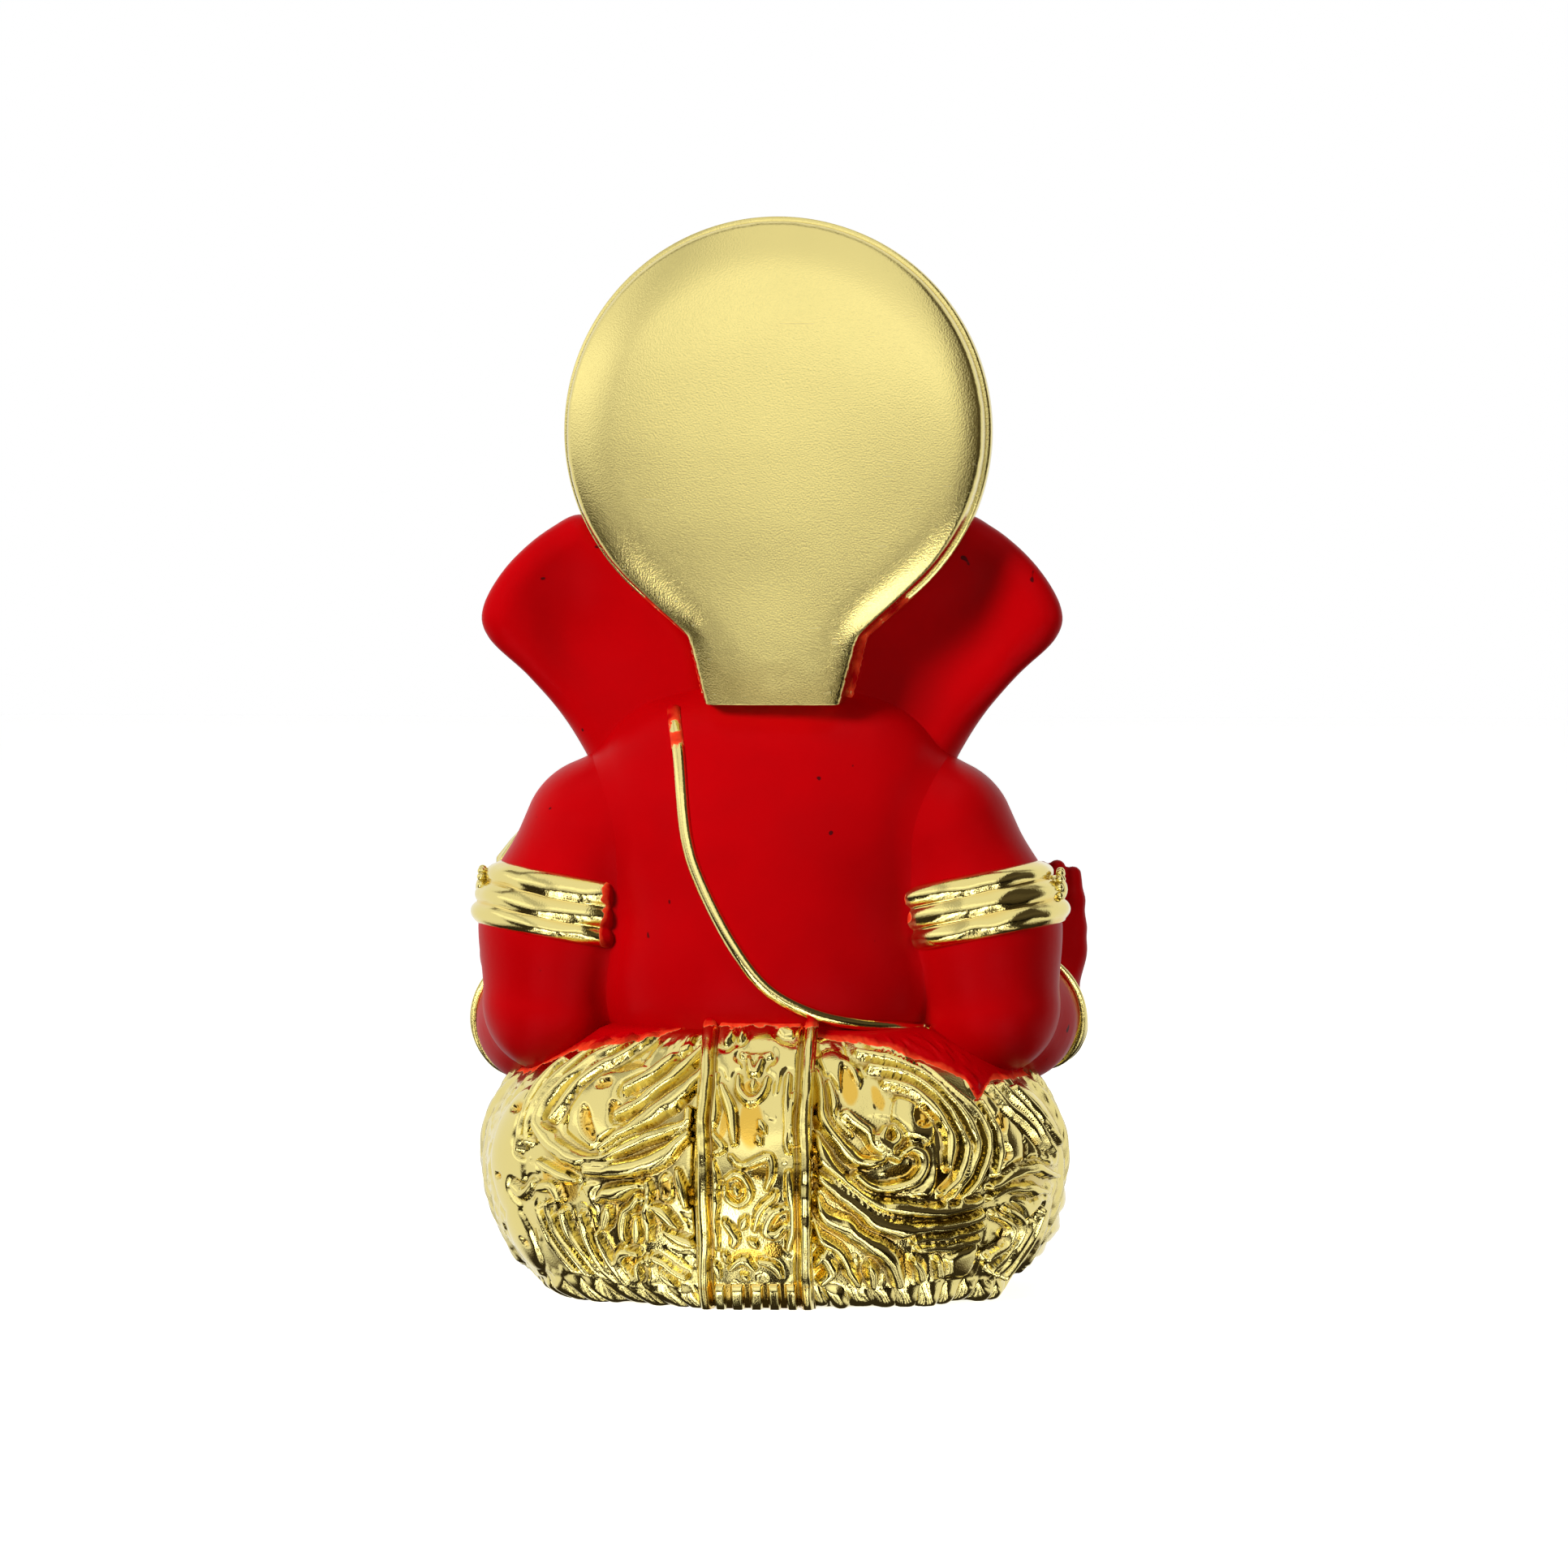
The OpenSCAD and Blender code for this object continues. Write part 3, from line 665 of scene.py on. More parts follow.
RIGHT_STRANDS = [
    (0.4, 0.9, [(13.6, 21.0), (17.0, 19.4), (19.5, 16.4), (20.1, 14.0), (19.3, 11.4), (17.4, 8.9)]),
    (0.4, 0.9, [(10.6, 21.0), (14.9, 20.0), (18.2, 16.9), (18.9, 14.4), (18.3, 12.0), (16.4, 9.2)]),
    (0.4, 0.9, [(11.2, 19.7), (14.5, 18.9), (17.1, 16.5), (17.8, 14.0), (17.3, 11.6), (15.7, 9.8)]),
    (0.38, 0.9, [(12.0, 18.3), (14.3, 17.7), (16.1, 16.0), (16.7, 13.7), (16.2, 11.7)]),
    (0.55, 1.05, [(4.2, 19.0), (4.6, 15.4), (5.9, 12.4), (8.6, 10.0), (12.0, 8.5), (15.8, 8.4),
                 (19.6, 9.0)]),
    (0.45, 0.95, [(5.7, 19.2), (6.0, 16.2), (7.1, 13.9), (8.9, 12.3), (10.8, 12.5)]),
    (0.36, 0.8, [(6.7, 18.4), (7.2, 16.2), (8.2, 14.6)]),
    (0.55, 1.1, [(7.9, 16.0), (9.3, 15.1), (10.6, 13.6), (12.0, 12.8)]),
    (0.4, 1.0, [(11.0, 15.2), (10.7, 14.2), (11.5, 13.7), (12.1, 14.4), (11.7, 15.2)]),
    (0.42, 1.0, [(12.4, 13.2), (13.2, 13.6), (14.1, 12.9), (14.0, 11.7), (12.8, 10.5), (10.4, 10.3),
                 (8.5, 11.3)]),
    (0.55, 1.05, [(4.7, 11.5), (6.8, 10.0), (9.4, 8.2), (12.0, 7.1), (14.8, 6.9), (20.0, 7.6)]),
    (0.62, 1.1, [(4.5, 9.8), (5.9, 8.1), (8.1, 6.8), (10.9, 5.5), (12.5, 4.2), (13.5, 2.6)]),
    (0.5, 1.0, [(4.6, 7.8), (5.4, 6.1), (7.4, 4.6), (9.2, 2.4)]), (0.4, 0.9, [(4.7, 6.0), (5.0, 4.4)]),
    (0.36, 0.85, [(14.0, 5.9), (17.5, 5.8), (20.4, 6.5)]),
    (0.32, 0.8, [(14.6, 5.1), (17.5, 4.9), (20.4, 5.5)]),
    (0.42, 1.0, [(5.2, 3.4), (6.0, 4.4), (6.8, 3.4), (6.2, 2.4)]), (0.5, 1.0, [(10.2, 4.0), (10.9, 2.2)]),
    (0.36, 0.9, [(14.4, 4.2), (15.6, 2.8), (15.4, 1.2)]),
    (0.36, 0.8, [(16.8, 3.9), (17.6, 2.6), (17.2, 1.4)]),
    (0.36, 0.75, [(20.9, 9.0), (23.0, 9.7), (28.2, 9.1)]),
    (0.36, 0.75, [(20.9, 10.0), (24.6, 11.0), (29.8, 10.6)]),
    (0.36, 0.9, [(21.4, 7.6), (23.8, 6.8), (24.0, 5.2), (22.2, 4.0)]),
    (0.32, 0.85, [(22.6, 8.0), (25.4, 6.8), (25.6, 4.4), (23.6, 2.8)]),
    (0.3, 0.8, [(24.8, 2.6), (26.8, 4.8), (27.2, 6.8)]),
    (0.3, 0.8, [(26.4, 2.4), (28.2, 5.0), (28.4, 7.4)]),
    (0.32, 0.7, [(22.8, 17.6), (24.6, 15.4), (27.6, 12.6)]),
    (0.32, 0.7, [(24.4, 17.8), (26.2, 15.6), (29.4, 12.4)]),
    (0.32, 0.7, [(26.2, 17.6), (28.0, 15.6), (31.0, 12.8)]),
    (0.36, 0.8, [(20.6, 16.6), (21.4, 13.8), (21.2, 11.2)]),
]
# smooth swellings: middle, radii, height
LEFT_SWELLINGS = [
    ((13.4, 16.6), (4.4, 3.6), 0.62), ((7.4, 10.0), (0.8, 1.3), 0.9), ((24.6, 12.0), (3.0, 5.5), 0.55),
    ((10.0, 4.2), (0.7, 0.6), 0.9), ((24.4, 5.4), (2.2, 3.0), 0.6),
]
RIGHT_SWELLINGS = [
    ((13.6, 15.4), (2.0, 2.3), 1.0), ((8.0, 19.4), (2.4, 1.6), 0.6), ((18.8, 3.4), (2.6, 2.3), 0.62),
    ((22.6, 13.6), (2.2, 4.0), 0.55), ((26.4, 8.0), (3.4, 1.6), 0.5), ((28.0, 14.0), (3.4, 4.0), 0.55),
    ((8.6, 3.6), (0.8, 1.2), 0.8),
]
# pits with a hammered ground: middle, long and short radius, tilt in degrees, depth
LEFT_PITS = [
    ((13.7, 19.9), 1.3, 0.5, -15, 0.5), ((14.6, 18.2), 0.8, 0.36, 10, 0.5),
    ((11.9, 17.9), 0.8, 0.4, 20, 0.5), ((12.4, 16.3), 1.1, 0.45, 35, 0.6),
    ((15.0, 15.2), 1.6, 0.6, 55, 0.7), ((17.6, 10.4), 2.3, 1.7, 0, 0.9), ((7.4, 10.2), 0.5, 0.9, 0, 0.4),
    ((11.8, 3.9), 0.6, 0.5, 0, 0.4), ((24.2, 15.6), 0.7, 0.5, 0, 0.5), ((25.6, 10.2), 0.5, 0.3, 0, 0.5),
    ((23.4, 5.2), 0.5, 0.3, 40, 0.5), ((8.6, 21.9), 0.9, 0.4, -30, 0.4),
]
RIGHT_PITS = [
    ((8.7, 18.3), 0.9, 1.5, -10, 0.6), ((11.2, 17.5), 0.5, 0.9, 0, 0.5), ((9.6, 13.2), 1.2, 0.5, 20, 0.5),
    ((12.4, 11.6), 1.5, 0.6, 15, 0.5), ((15.7, 10.9), 0.6, 1.2, -15, 0.5), ((14.6, 15.9), 0.9, 0.8, 0, 0.9),
    ((22.4, 15.0), 1.1, 0.7, 30, 0.4), ((22.0, 12.7), 0.5, 0.8, 30, 0.9),
    ((26.3, 12.9), 0.35, 1.0, 15, 0.9), ((24.6, 12.6), 0.3, 0.9, 0, 0.8), ((6.0, 3.3), 0.4, 0.7, 0, 0.4),
    ((8.1, 3.5), 0.5, 0.9, 0, 0.5), ((6.4, 20.7), 0.4, 0.4, 0, 0.6), ((13.8, 4.0), 0.4, 1.9, 35, 0.8),
    ((7.6, 15.6), 0.4, 1.1, -20, 0.4),
]


def scrollwork(q, strands, swellings, pits):
    """Height of cast strands, swellings and pits at places q of the cloth, and how far each is hammered."""
    lumps = knobs(q, 0.5, 3)
    h = 0.05 + 0.1 * lumps + 0.22 * noise(q, 1.8, 4)
    for middle, radii, tall in swellings:
        r = (((q - middle) / radii) ** 2).sum(-1)
        h = np.maximum(h, tall * np.clip(1 - r, 0, 1) ** 0.35)
    pit = np.zeros(len(q))
    for middle, long_r, short_r, tilt, depth in pits:
        a = math.radians(tilt)
        d = q - middle
        r = ((d[:, 0] * math.cos(a) + d[:, 1] * math.sin(a)) / long_r) ** 2 \
            + ((d[:, 1] * math.cos(a) - d[:, 0] * math.sin(a)) / short_r) ** 2
        edge = smoothstep(1.2, 0.6, r)
        h = h - depth * edge * (1 - 0.45 * lumps)
        pit = np.maximum(pit, edge)
    for half, tall, points in strands:
        path = spline(points, 7 * len(points))
        low, high = path.min(0) - 1.5, path.max(0) + 1.5
        near = np.all((q > low) & (q < high), -1)
        d, along = path_distance(q[near], path)
        wide = 1.42 * half * (0.5 + 0.5 * np.sin(math.pi * np.clip(along, 0.03, 0.97)) ** 0.6)
        ridge = 1.15 * tall * np.clip(1 - (d / wide) ** 2, 0, 1) ** 0.55
        trench = 0.45 * np.exp(-((d - wide - 0.12) / 0.3) ** 2) * (d > wide)
        h[near] = np.maximum(h[near] - trench, ridge)
        pit[near] *= 1 - (ridge > 0.15)
    return h, pit


def cloth_relief(s, z, sizes):
    """Height of the cast cloth, and how far it is hammered, at an arc length s and a height z."""
    height = np.zeros(s.shape)
    hammered = np.zeros(s.shape)
    uv = np.stack([np.abs(s), z], -1)
    warp = uv + 0.3 * np.stack([noise(uv, 2.6, 1), noise(uv, 2.6, 2)], -1)
    warp += 0.1 * np.stack([noise(uv, 0.9, 5), noise(uv, 0.9, 6)], -1)
    for side, strands, swellings, pits in ((LEFT, LEFT_STRANDS, LEFT_SWELLINGS, LEFT_PITS),
                                           (RIGHT, RIGHT_STRANDS, RIGHT_SWELLINGS, RIGHT_PITS)):
        on = (s * side > 0) & (np.abs(s) < 34)
        height[on], hammered[on] = scrollwork(warp[on], strands, swellings, pits)
    # round the sides and the front the cloth falls in plain pleats
    front = smoothstep(30.5, 33.5, np.abs(s))
    pleats = fold(np.abs(s) + 0.35 * z + 0.5 * noise(uv, 5.0, 8), sizes.fold_pitch * 1.4)
    height = height * (1 - front) + pleats * front

    # hem of upright petals
    petal = np.abs(np.cos(math.pi * (s + 0.75 * noise(uv, 3.3, 9)) / sizes.hem_pitch)) ** 0.5
    tall = 1.15 + 0.3 * noise(uv * (1, 0.2), 2.1, 12)
    petal = petal * np.clip(1 - ((z - tall) / tall) ** 2, 0, 1) ** 0.5 * (0.55 + 0.4 * noise(uv, 2.6, 12))
    hem = smoothstep(2.6, 1.7, z + 0.6 * noise(uv, 2.3, 10))
    # a deep groove parts the cloth from the sash
    groove = np.exp(-((np.abs(s) - 4.75) / 0.34) ** 2) * np.where(s < 0, 1.5, 0.8) * smoothstep(21.5, 16.5, z)
    return np.maximum(height * (1 - hem), petal * hem) - groove, hammered * (1 - hem)


def with_valleys(hammered, h, reach):
    """How far each place of a height grid is hammered; or below 0, how far it lies under the places round it,
    a few grid steps away."""
    around = h
    for axis in (0, 0, 1, 1):
        around = sum(np.roll(around, k, axis) for k in range(-reach, reach + 1)) / (2 * reach + 1)
    valley = np.clip((around - h) * 2.6 - 0.12, 0, 1)
    return np.where((hammered <= 0.3) & (valley > 0.02), -valley, hammered)


def seat_point(x, z, out=0.0):
    """A point of the back of the seat at x and z, moved outwards."""
    share = seat_share(z)
    a, b = HALF_SEAT
    reach = np.sqrt(np.clip(1 - (x / (a * share)) ** 2, 0.02, 1))
    y = SEAT_Y + b * share * reach
    n = np.stack([x / (a * share) ** 2, (y - SEAT_Y) / (b * share) ** 2, 0 * z], -1)
    n = n / np.linalg.norm(n, axis=-1, keepdims=True)
    dz = 0.05
    slope = b * (seat_share(z + dz) - seat_share(z - dz)) / (2 * dz)
    n[..., 2] = -slope
    n = n / np.linalg.norm(n, axis=-1, keepdims=True)
    return np.stack([x + SEAT_X, y, z], -1) + n * np.asarray(out)[..., None]


class IDOL_OT_seat(bpy.types.Operator):
    """Makes the seat, with its folded cloth in relief"""
    bl_idname = "idol.seat"
    bl_label = "Seat"

    def execute(self, context):
        sizes = context.scene.idol_seat
        a, b = HALF_SEAT - sizes.relief * 0.6
        fine = np.linspace(0, 2 * math.pi, 4001)
        arc = np.concatenate([[0], np.cumsum(np.hypot(np.diff(a * np.cos(fine)), np.diff(b * np.sin(fine))))])
        # points lie closer together round the back, as far as the scrollwork goes
        back, scrolled = np.interp(math.pi / 2, fine, arc), 31
        close = back + np.linspace(-scrolled, scrolled, 430)
        wide = np.linspace(back + scrolled, back + arc[-1] - scrolled, 150)[1:-1]
        t = np.interp(np.sort(np.concatenate([close, wide]) % arc[-1]), arc, fine)
        s = back - np.interp(t, fine, arc)
        s = (s + arc[-1] / 2) % arc[-1] - arc[-1] / 2
        pad = box("felt_pad")
        pad_share = (pad[1][0] - pad[0][0]) / 2 / a
        rows = [(pad[1][2], pad_share), (0.0, pad_share * 1.004)]
        foot = float(seat_share(np.array(0.0)))
        rows += [(0.0, pad_share + (foot - pad_share) * f) for f in (0.35, 0.7, 0.93)]
        side = np.linspace(0.12, WAIST, 158)
        rows += [(z, float(seat_share(z))) for z in side]
        rows += [(WAIST + 0.35, 0.6), (WAIST + 0.35, 0.3)]
        z = np.array([r[0] for r in rows])
        share = np.array([r[1] for r in rows])
        points = np.empty((len(t), len(rows), 3))
        points[..., 0] = SEAT_X * smoothstep(0, 2, z) + a * np.cos(t)[:, None] * share
        points[..., 1] = SEAT_Y + b * np.sin(t)[:, None] * share
        points[..., 2] = z
        normal = grid_normals(points)
        S, Z = np.meshgrid(s, z, indexing="ij")
        h, hammered = cloth_relief(S, Z, sizes)
        on_side = smoothstep(0.0, 0.5, Z) * smoothstep(WAIST + 0.1, WAIST - 0.7, Z)
        on_side[:, :5] = 0
        under_sash = smoothstep(3.4, 4.6, np.abs(points[..., 0])) + (points[..., 1] < 0)
        swell = 0.3 * noise(np.stack([S, Z], -1), 5.5, 11)
        raised = (h * sizes.relief + swell) * on_side * np.clip(under_sash, 0, 1)
        points = points + normal * raised[..., None]
        points[..., 2] = np.maximum(points[..., 2], 0.0)
        flat, faces = closed_grid(points)
        paint = np.where(flat[:, 1] > 0, paint_depth(flat[:, 2] - paint_line(flat[:, 0])), BARE)
        # painted shade: the plating is deeper in the hammered pits and brown in the valleys of the scrollwork
        depth = np.append((with_valleys(hammered, h, 3) * on_side).reshape(-1), FAN_ENDS)
        put("seat_casting", flat, faces, GOLD, "seat", paint, depth)
        return {"FINISHED"}


class IDOL_OT_pad(bpy.types.Operator):
    """Makes the felt pad under the seat"""
    bl_idname = "idol.pad"
    bl_label = "Felt pad"

    def execute(self, context):
        low, high = box("felt_pad")
        rx, ry = (high[0] - low[0]) / 2, (high[1] - low[1]) / 2
        top = high[2]
        rows = [(top, 0.0), (top, 0.6), (top, 0.985), (top - 0.15, 1.0), (0.2, 1.0), (0.0, 0.985)]
        rows += [(0.0, f) for f in np.linspace(0.94, 0.04, 22)]
        points = np.array([[[rx * r * math.cos(t), ry * r * math.sin(t), z] for z, r in reversed(rows)]
                           for t in turn(120)])
        points[..., 2] += 0.05 * (noise(points[..., :2], 0.9, 5) + 1) * (points[..., 2] < 0.1)
        flat, faces = closed_grid(points)
        put("felt_disc", flat, faces, "wool_felt", "felt_pad")
        return {"FINISHED"}


SASH_STRANDS = [
    (0.3, 0.8, [(1.5, 22.6), (1.6, 21.9)]), (0.3, 0.8, [(2.3, 22.5), (2.6, 21.6)]),
    (0.28, 0.7, [(-1.6, 22.6), (-2.6, 22.2)]), (0.3, 0.8, [(1.3, 20.6), (0.1, 20.5), (-1.0, 20.6)]),
    (0.32, 0.9, [(0.7, 20.2), (0.2, 19.3), (-0.3, 20.2)]),
    (0.34, 1.0, [(1.4, 18.9), (1.2, 17.9), (0.4, 17.3), (-0.5, 17.7), (-0.9, 18.8)]),
    (0.26, 0.8, [(0.2, 18.6), (0.2, 18.0)]), (0.36, 1.0, [(3.3, 19.0), (3.2, 17.0), (3.4, 15.0)]),
    (0.38, 1.0, [(2.6, 18.2), (1.8, 16.2), (1.4, 14.0)]),
    (0.3, 0.9, [(3.2, 14.6), (2.4, 13.6), (3.3, 13.0)]),
    (0.36, 1.0, [(3.2, 12.4), (2.9, 10.0), (3.3, 8.0), (2.9, 5.6)]),
    (0.32, 1.0, [(-2.6, 19.0), (-2.8, 16.0), (-2.9, 13.4)]), (0.28, 0.8, [(-3.3, 17.8), (-3.4, 14.0)]),
    (0.34, 1.0, [(-0.5, 15.6), (-0.8, 14.9)]), (0.3, 1.0, [(-0.3, 14.4), (-0.5, 14.0)]),
    (0.32, 1.0, [(1.7, 12.9), (0.9, 12.2), (-0.4, 12.7), (-1.3, 12.9), (-1.5, 11.6), (-1.2, 10.4)]),
    (0.3, 1.0, [(2.2, 11.2), (1.4, 11.6), (0.6, 11.0), (0.3, 9.8), (1.0, 9.0), (1.9, 9.6), (2.2, 10.6)]),
    (0.28, 0.9, [(1.4, 10.6), (1.1, 9.9)]), (0.4, 1.1, [(-1.9, 10.0), (-0.9, 8.6), (-0.2, 7.2)]),
    (0.34, 1.0, [(-2.6, 8.9), (-1.7, 8.4), (-1.1, 6.9), (-1.9, 6.6), (-2.7, 7.6)]),
    (0.36, 1.0, [(-2.9, 11.8), (-3.2, 9.0), (-2.9, 5.6)]),
    (0.36, 1.0, [(2.3, 7.6), (1.5, 6.6), (1.7, 5.8)]), (0.34, 1.0, [(0.3, 6.2), (-0.1, 5.8)]),
    (0.3, 0.9, [(0.9, 7.2), (0.5, 7.9)]), (0.3, 0.9, [(2.4, 5.2), (2.2, 4.4)]),
    (0.32, 0.9, [(1.9, 3.9), (0.9, 4.6), (0.1, 3.9)]), (0.32, 0.9, [(-0.3, 4.6), (-1.6, 4.0), (-2.2, 3.3)]),
    (0.3, 0.9, [(3.4, 4.4), (2.8, 3.3)]), (0.3, 0.9, [(0.9, 3.3), (0.6, 2.9)]),
]
SASH_SWELLINGS = [
    ((0.0, 20.2), (3.3, 2.9), 0.5),
]
SASH_PITS = [
    ((0.3, 18.3), 0.8, 0.6, 0, 0.5), ((0.2, 15.6), 1.0, 2.2, 0, 0.5), ((1.2, 10.3), 0.6, 0.8, 0, 0.5),
    ((-1.9, 7.7), 0.4, 0.7, -30, 0.4), ((-0.6, 11.6), 0.8, 0.6, 0, 0.4), ((2.4, 15.6), 0.4, 1.4, 10, 0.4),
    ((0.6, 4.9), 1.4, 0.6, 0, 0.4), ((-1.6, 5.3), 1.0, 0.7, 0, 0.4),
]


def sash_relief(u, z):
    """Height of the sash's ornament, and how far it is hammered, at u across it and a height z."""
    uv = np.stack([u, z], -1).reshape(-1, 2)
    warp = uv + 0.14 * np.stack([noise(uv, 1.4, 22), noise(uv, 1.4, 23)], -1)
    h, pit = scrollwork(warp, SASH_STRANDS, SASH_SWELLINGS, SASH_PITS)
    h, pit = h.reshape(u.shape), pit.reshape(u.shape)
    across = u + 0.12 * noise(np.stack([u, z], -1), 2.0, 24)
    flutes = np.clip(np.cos(2 * math.pi * across / 1.5) * 2.0 + 0.9, 0, 1)
    flutes = flutes * np.clip(1 - ((z - 1.3) / 1.15) ** 4, 0, 1)
    hem = smoothstep(2.7, 2.3, z)
    # the grooves between the hem's flutes get the same painted shade as the pits
    return h * (1 - hem) + flutes * hem, pit * (1 - hem) + 0.8 * hem * (flutes < 0.2)


class IDOL_OT_sash(bpy.types.Operator):
    """Makes the sash down the back, with its raised borders and small ornaments"""
    bl_idname = "idol.sash"
    bl_label = "Back sash"

    def execute(self, context):
        half = (SASH[1][0] - SASH[0][0]) / 2
        low, high = SASH[0][2] + 0.05, SASH[1][2] + 0.9
        u = np.linspace(-half, half, 110)
        z = np.linspace(low, high, 250)
        U, Z = np.meshgrid(u, z, indexing="ij")
        bend = 0.16 * noise(np.stack([U * 0.3, Z], -1), 3.1, 32)
        inset = half - np.abs(U + bend)
        border = np.clip(1 - ((inset - 0.62) / 0.52) ** 2, 0, 1) ** 0.5
        notch = np.exp(-((inset - 1.25) / 0.2) ** 2)
        inner = smoothstep(1.2, 1.5, inset)
        relief, hammered = sash_relief(U, Z)
        uneven = 0.85 + 0.25 * noise(np.stack([U * 0.3, Z], -1), 1.2, 33)
        lift = 0.3 + 0.72 * border * uneven - 0.3 * notch + 0.66 * relief * inner
        lift = lift + 0.08 * noise(np.stack([U, Z], -1), 2.5, 31)
        lift *= smoothstep(high - low + 0.02, high - low - 0.25, Z - low)
        lift *= 0.35 + 0.65 * smoothstep(0, 0.3, Z - low)
        outer = seat_point(U * (1 - 0.004 * (high - Z) / high), Z, lift)
        inside = seat_point(U, Z, -0.8 + 0 * U)
        loop = np.concatenate([outer, inside[::-1]], 0)
        loop[..., 2] = np.maximum(loop[..., 2], 0.02)
        flat, faces = closed_grid(loop)
        # painted shade: deeper gold in the hammered pits, brown in the valleys of the ornament
        recess_shade = np.concatenate([with_valleys(hammered, lift, 4), np.zeros_like(lift)], 0).reshape(-1)
        put("back_sash_casting", flat, faces, GOLD, "back_sash", paint_depth(flat[:, 2] - 23.1),
            np.append(recess_shade, FAN_ENDS))
        return {"FINISHED"}


# ---------- red body ----------

def sculpt(name, field, low, high, material, node=None, step=None, relief=None, paint=PAINTED):
    """A piece skinned from a field, with relief along its normals."""
    step = step or idol_settings().idol_body.skin_step
    points, quads = skin(field, low, high, step)
    points, normals = settle(field, points)
    if relief:
        points = points + normals * relief(points)[:, None]
    return put(name, points, quads, material, node, paint(points) if callable(paint) else paint)


def torso_field():
    """Back, belly and neck as one smooth form."""
    rx, ry = HALF_TORSO
    belly = blob((0, -0.8, WAIST + TORSO_H * 0.15), (rx - 0.1, ry - 0.4, TORSO_H * 0.37))
    chest = blob((0, 0.3, WAIST + TORSO_H * 0.52), (rx * 0.85, ry * 0.88, TORSO_H * 0.41))
    shoulders = bone((-8.6, 1.0, NAPE - 7.6), (8.6, 1.0, NAPE - 7.6), 6.5, 6.5)
    nape = blob((0, 0.6, NAPE - TORSO_H * 0.13), (rx * 0.6, ry * 0.5, TORSO_H * 0.15))
    body = join(7.0, belly, chest, shoulders, nape)
    navel = blob((0, -ry - 0.6, WAIST + 2.6), (0.9, 1.3, 1.1))
    return lambda p: np.maximum(carve(body, navel, 0.8)(p), (WAIST - 0.8) - p[..., 2])


def shared_skin(mine, others):
    """The form of one piece of a casting whose pieces run into each other: the whole casting's skin, which
    dips just under the neighbour's where that one takes over."""
    whole = join(1.5, mine, *others)

    def field(p):
        share = mine(p) - np.minimum.reduce([f(p) for f in others])
        return np.maximum(whole(p) + 0.12 * smoothstep(-1.0, 1.0, share), share - 1.1)
    return field


class IDOL_OT_torso(bpy.types.Operator):
    """Makes the back, belly and neck"""
    bl_idname = "idol.torso"
    bl_label = "Torso"

    def execute(self, context):
        rx, ry = HALF_TORSO
        field = shared_skin(torso_field(), [arm_field(LEFT), arm_field(RIGHT)])

        def creases(p):
            chest_line = np.abs(p[..., 2] - (WAIST + TORSO_H * 0.47) - 0.04 * p[..., 0] ** 2)
            return -0.35 * np.exp(-(chest_line / 0.6) ** 2) * (p[..., 1] < -4) * (np.abs(p[..., 0]) < 11)

        def paint(p):
            stop = np.minimum(paint_line(p[:, 0]), 22.3)
            return np.where(p[:, 1] > 0, paint_depth(p[:, 2] - stop), PAINTED)
        low, high = (-rx - 3, -ry - 1, WAIST - 1), (rx + 3, ry + 1, NAPE + 1)
        sculpt("torso_casting", field, low, high, RED, "torso", relief=creases, paint=paint)
        return {"FINISHED"}


# spacing of the points of the hands and the legs, in mm
FINE_STEP = 0.26
ARM_R = (ARM[1][1] - ARM[0][1]) / 2
# the body stands a little to the idol's left of the halo
LEAN = 0.8


def arm_points(side):
    """Middle line and radii of an upper arm, from the shoulder to the elbow."""
    elbow_r = idol_settings().idol_body.elbow
    elbow = np.array([ARM[1][0] + 0.2 - elbow_r, 1.5, ARM[0][2] + elbow_r])
    top = np.array([ARM[0][0] + ARM_R * 0.47 + (0.6 if side == LEFT else 0.2), 1.0, ARM[1][2] - ARM_R + 0.2])
    middle = top + (elbow - top) * 0.52 + np.array([1.3, 0.2, 0])
    return [mirrored(q, side) for q in (top, middle, elbow)], [ARM_R - 0.4, elbow_r + 0.5, elbow_r]


def arm_field(side):
    points, radii = arm_points(side)
    return limb(points, radii, 2.5)


def wrist_point(side):
    wrist_r = idol_settings().idol_body.wrist
    x, y, _ = sum(box("left_bangle")) / 2
    out, up = (0.9, -0.3) if side == LEFT else (0.7, 0.7)
    return mirrored((x + out, y - 1.6, FOREARM[0][2] + wrist_r + up), side)


def hand_field(side):
    """Forearm, wrist and a raised hand with its fingers together and the thumb apart."""
    body = idol_settings().idol_body
    points, _ = arm_points(side)
    elbow = points[-1]
    wrist = wrist_point(side)
    middle = (elbow + wrist) / 2 + np.array([0, 0, -0.6])
    tip_z = FOREARM[1][2]
    palm_z = wrist[2] + (tip_z - wrist[2]) * 0.42
    parts = [limb([elbow, middle, wrist], [body.elbow * 0.92, body.wrist * 1.22, body.wrist], 2.0)]
    palm = wrist + np.array([side * 1.1, -1.3, 0])
    palm[2] = palm_z
    parts.append(blob(palm, (3.3, 2.1, 3.9)))
    forearm = join(2.2, *parts)
    fingers = []
    for i in range(4):
        across = (i - 1.5) * 1.45
        root = palm + np.array([across, -0.2, 2.0])
        end = palm + np.array([across * 0.92, -0.9, 0])
        end[2] = tip_z - 0.85 - 0.55 * abs(i - 1.4)
        if side == LEFT:
            end = palm + np.array([across * 0.9, -2.6, 4.4 - 0.3 * abs(i - 1.5)])
        fingers.append(limb([root, (root + end) / 2 + np.array([0, 0.35, 0]), end], [0.98, 0.92, 0.74], 0.5))
    thumb_root = palm + np.array([-side * 2.2, -0.6, -0.6])
    thumb_end = palm + np.array([-side * 3.1, -1.6, 3.0])
    thumb = limb([thumb_root, (thumb_root + thumb_end) / 2 + np.array([-side * 0.5, 0, 0]), thumb_end],
                 [1.15, 1.0, 0.75], 0.5)
    hand = join(0.35, *fingers)
    return join(0.9, forearm, hand, thumb)


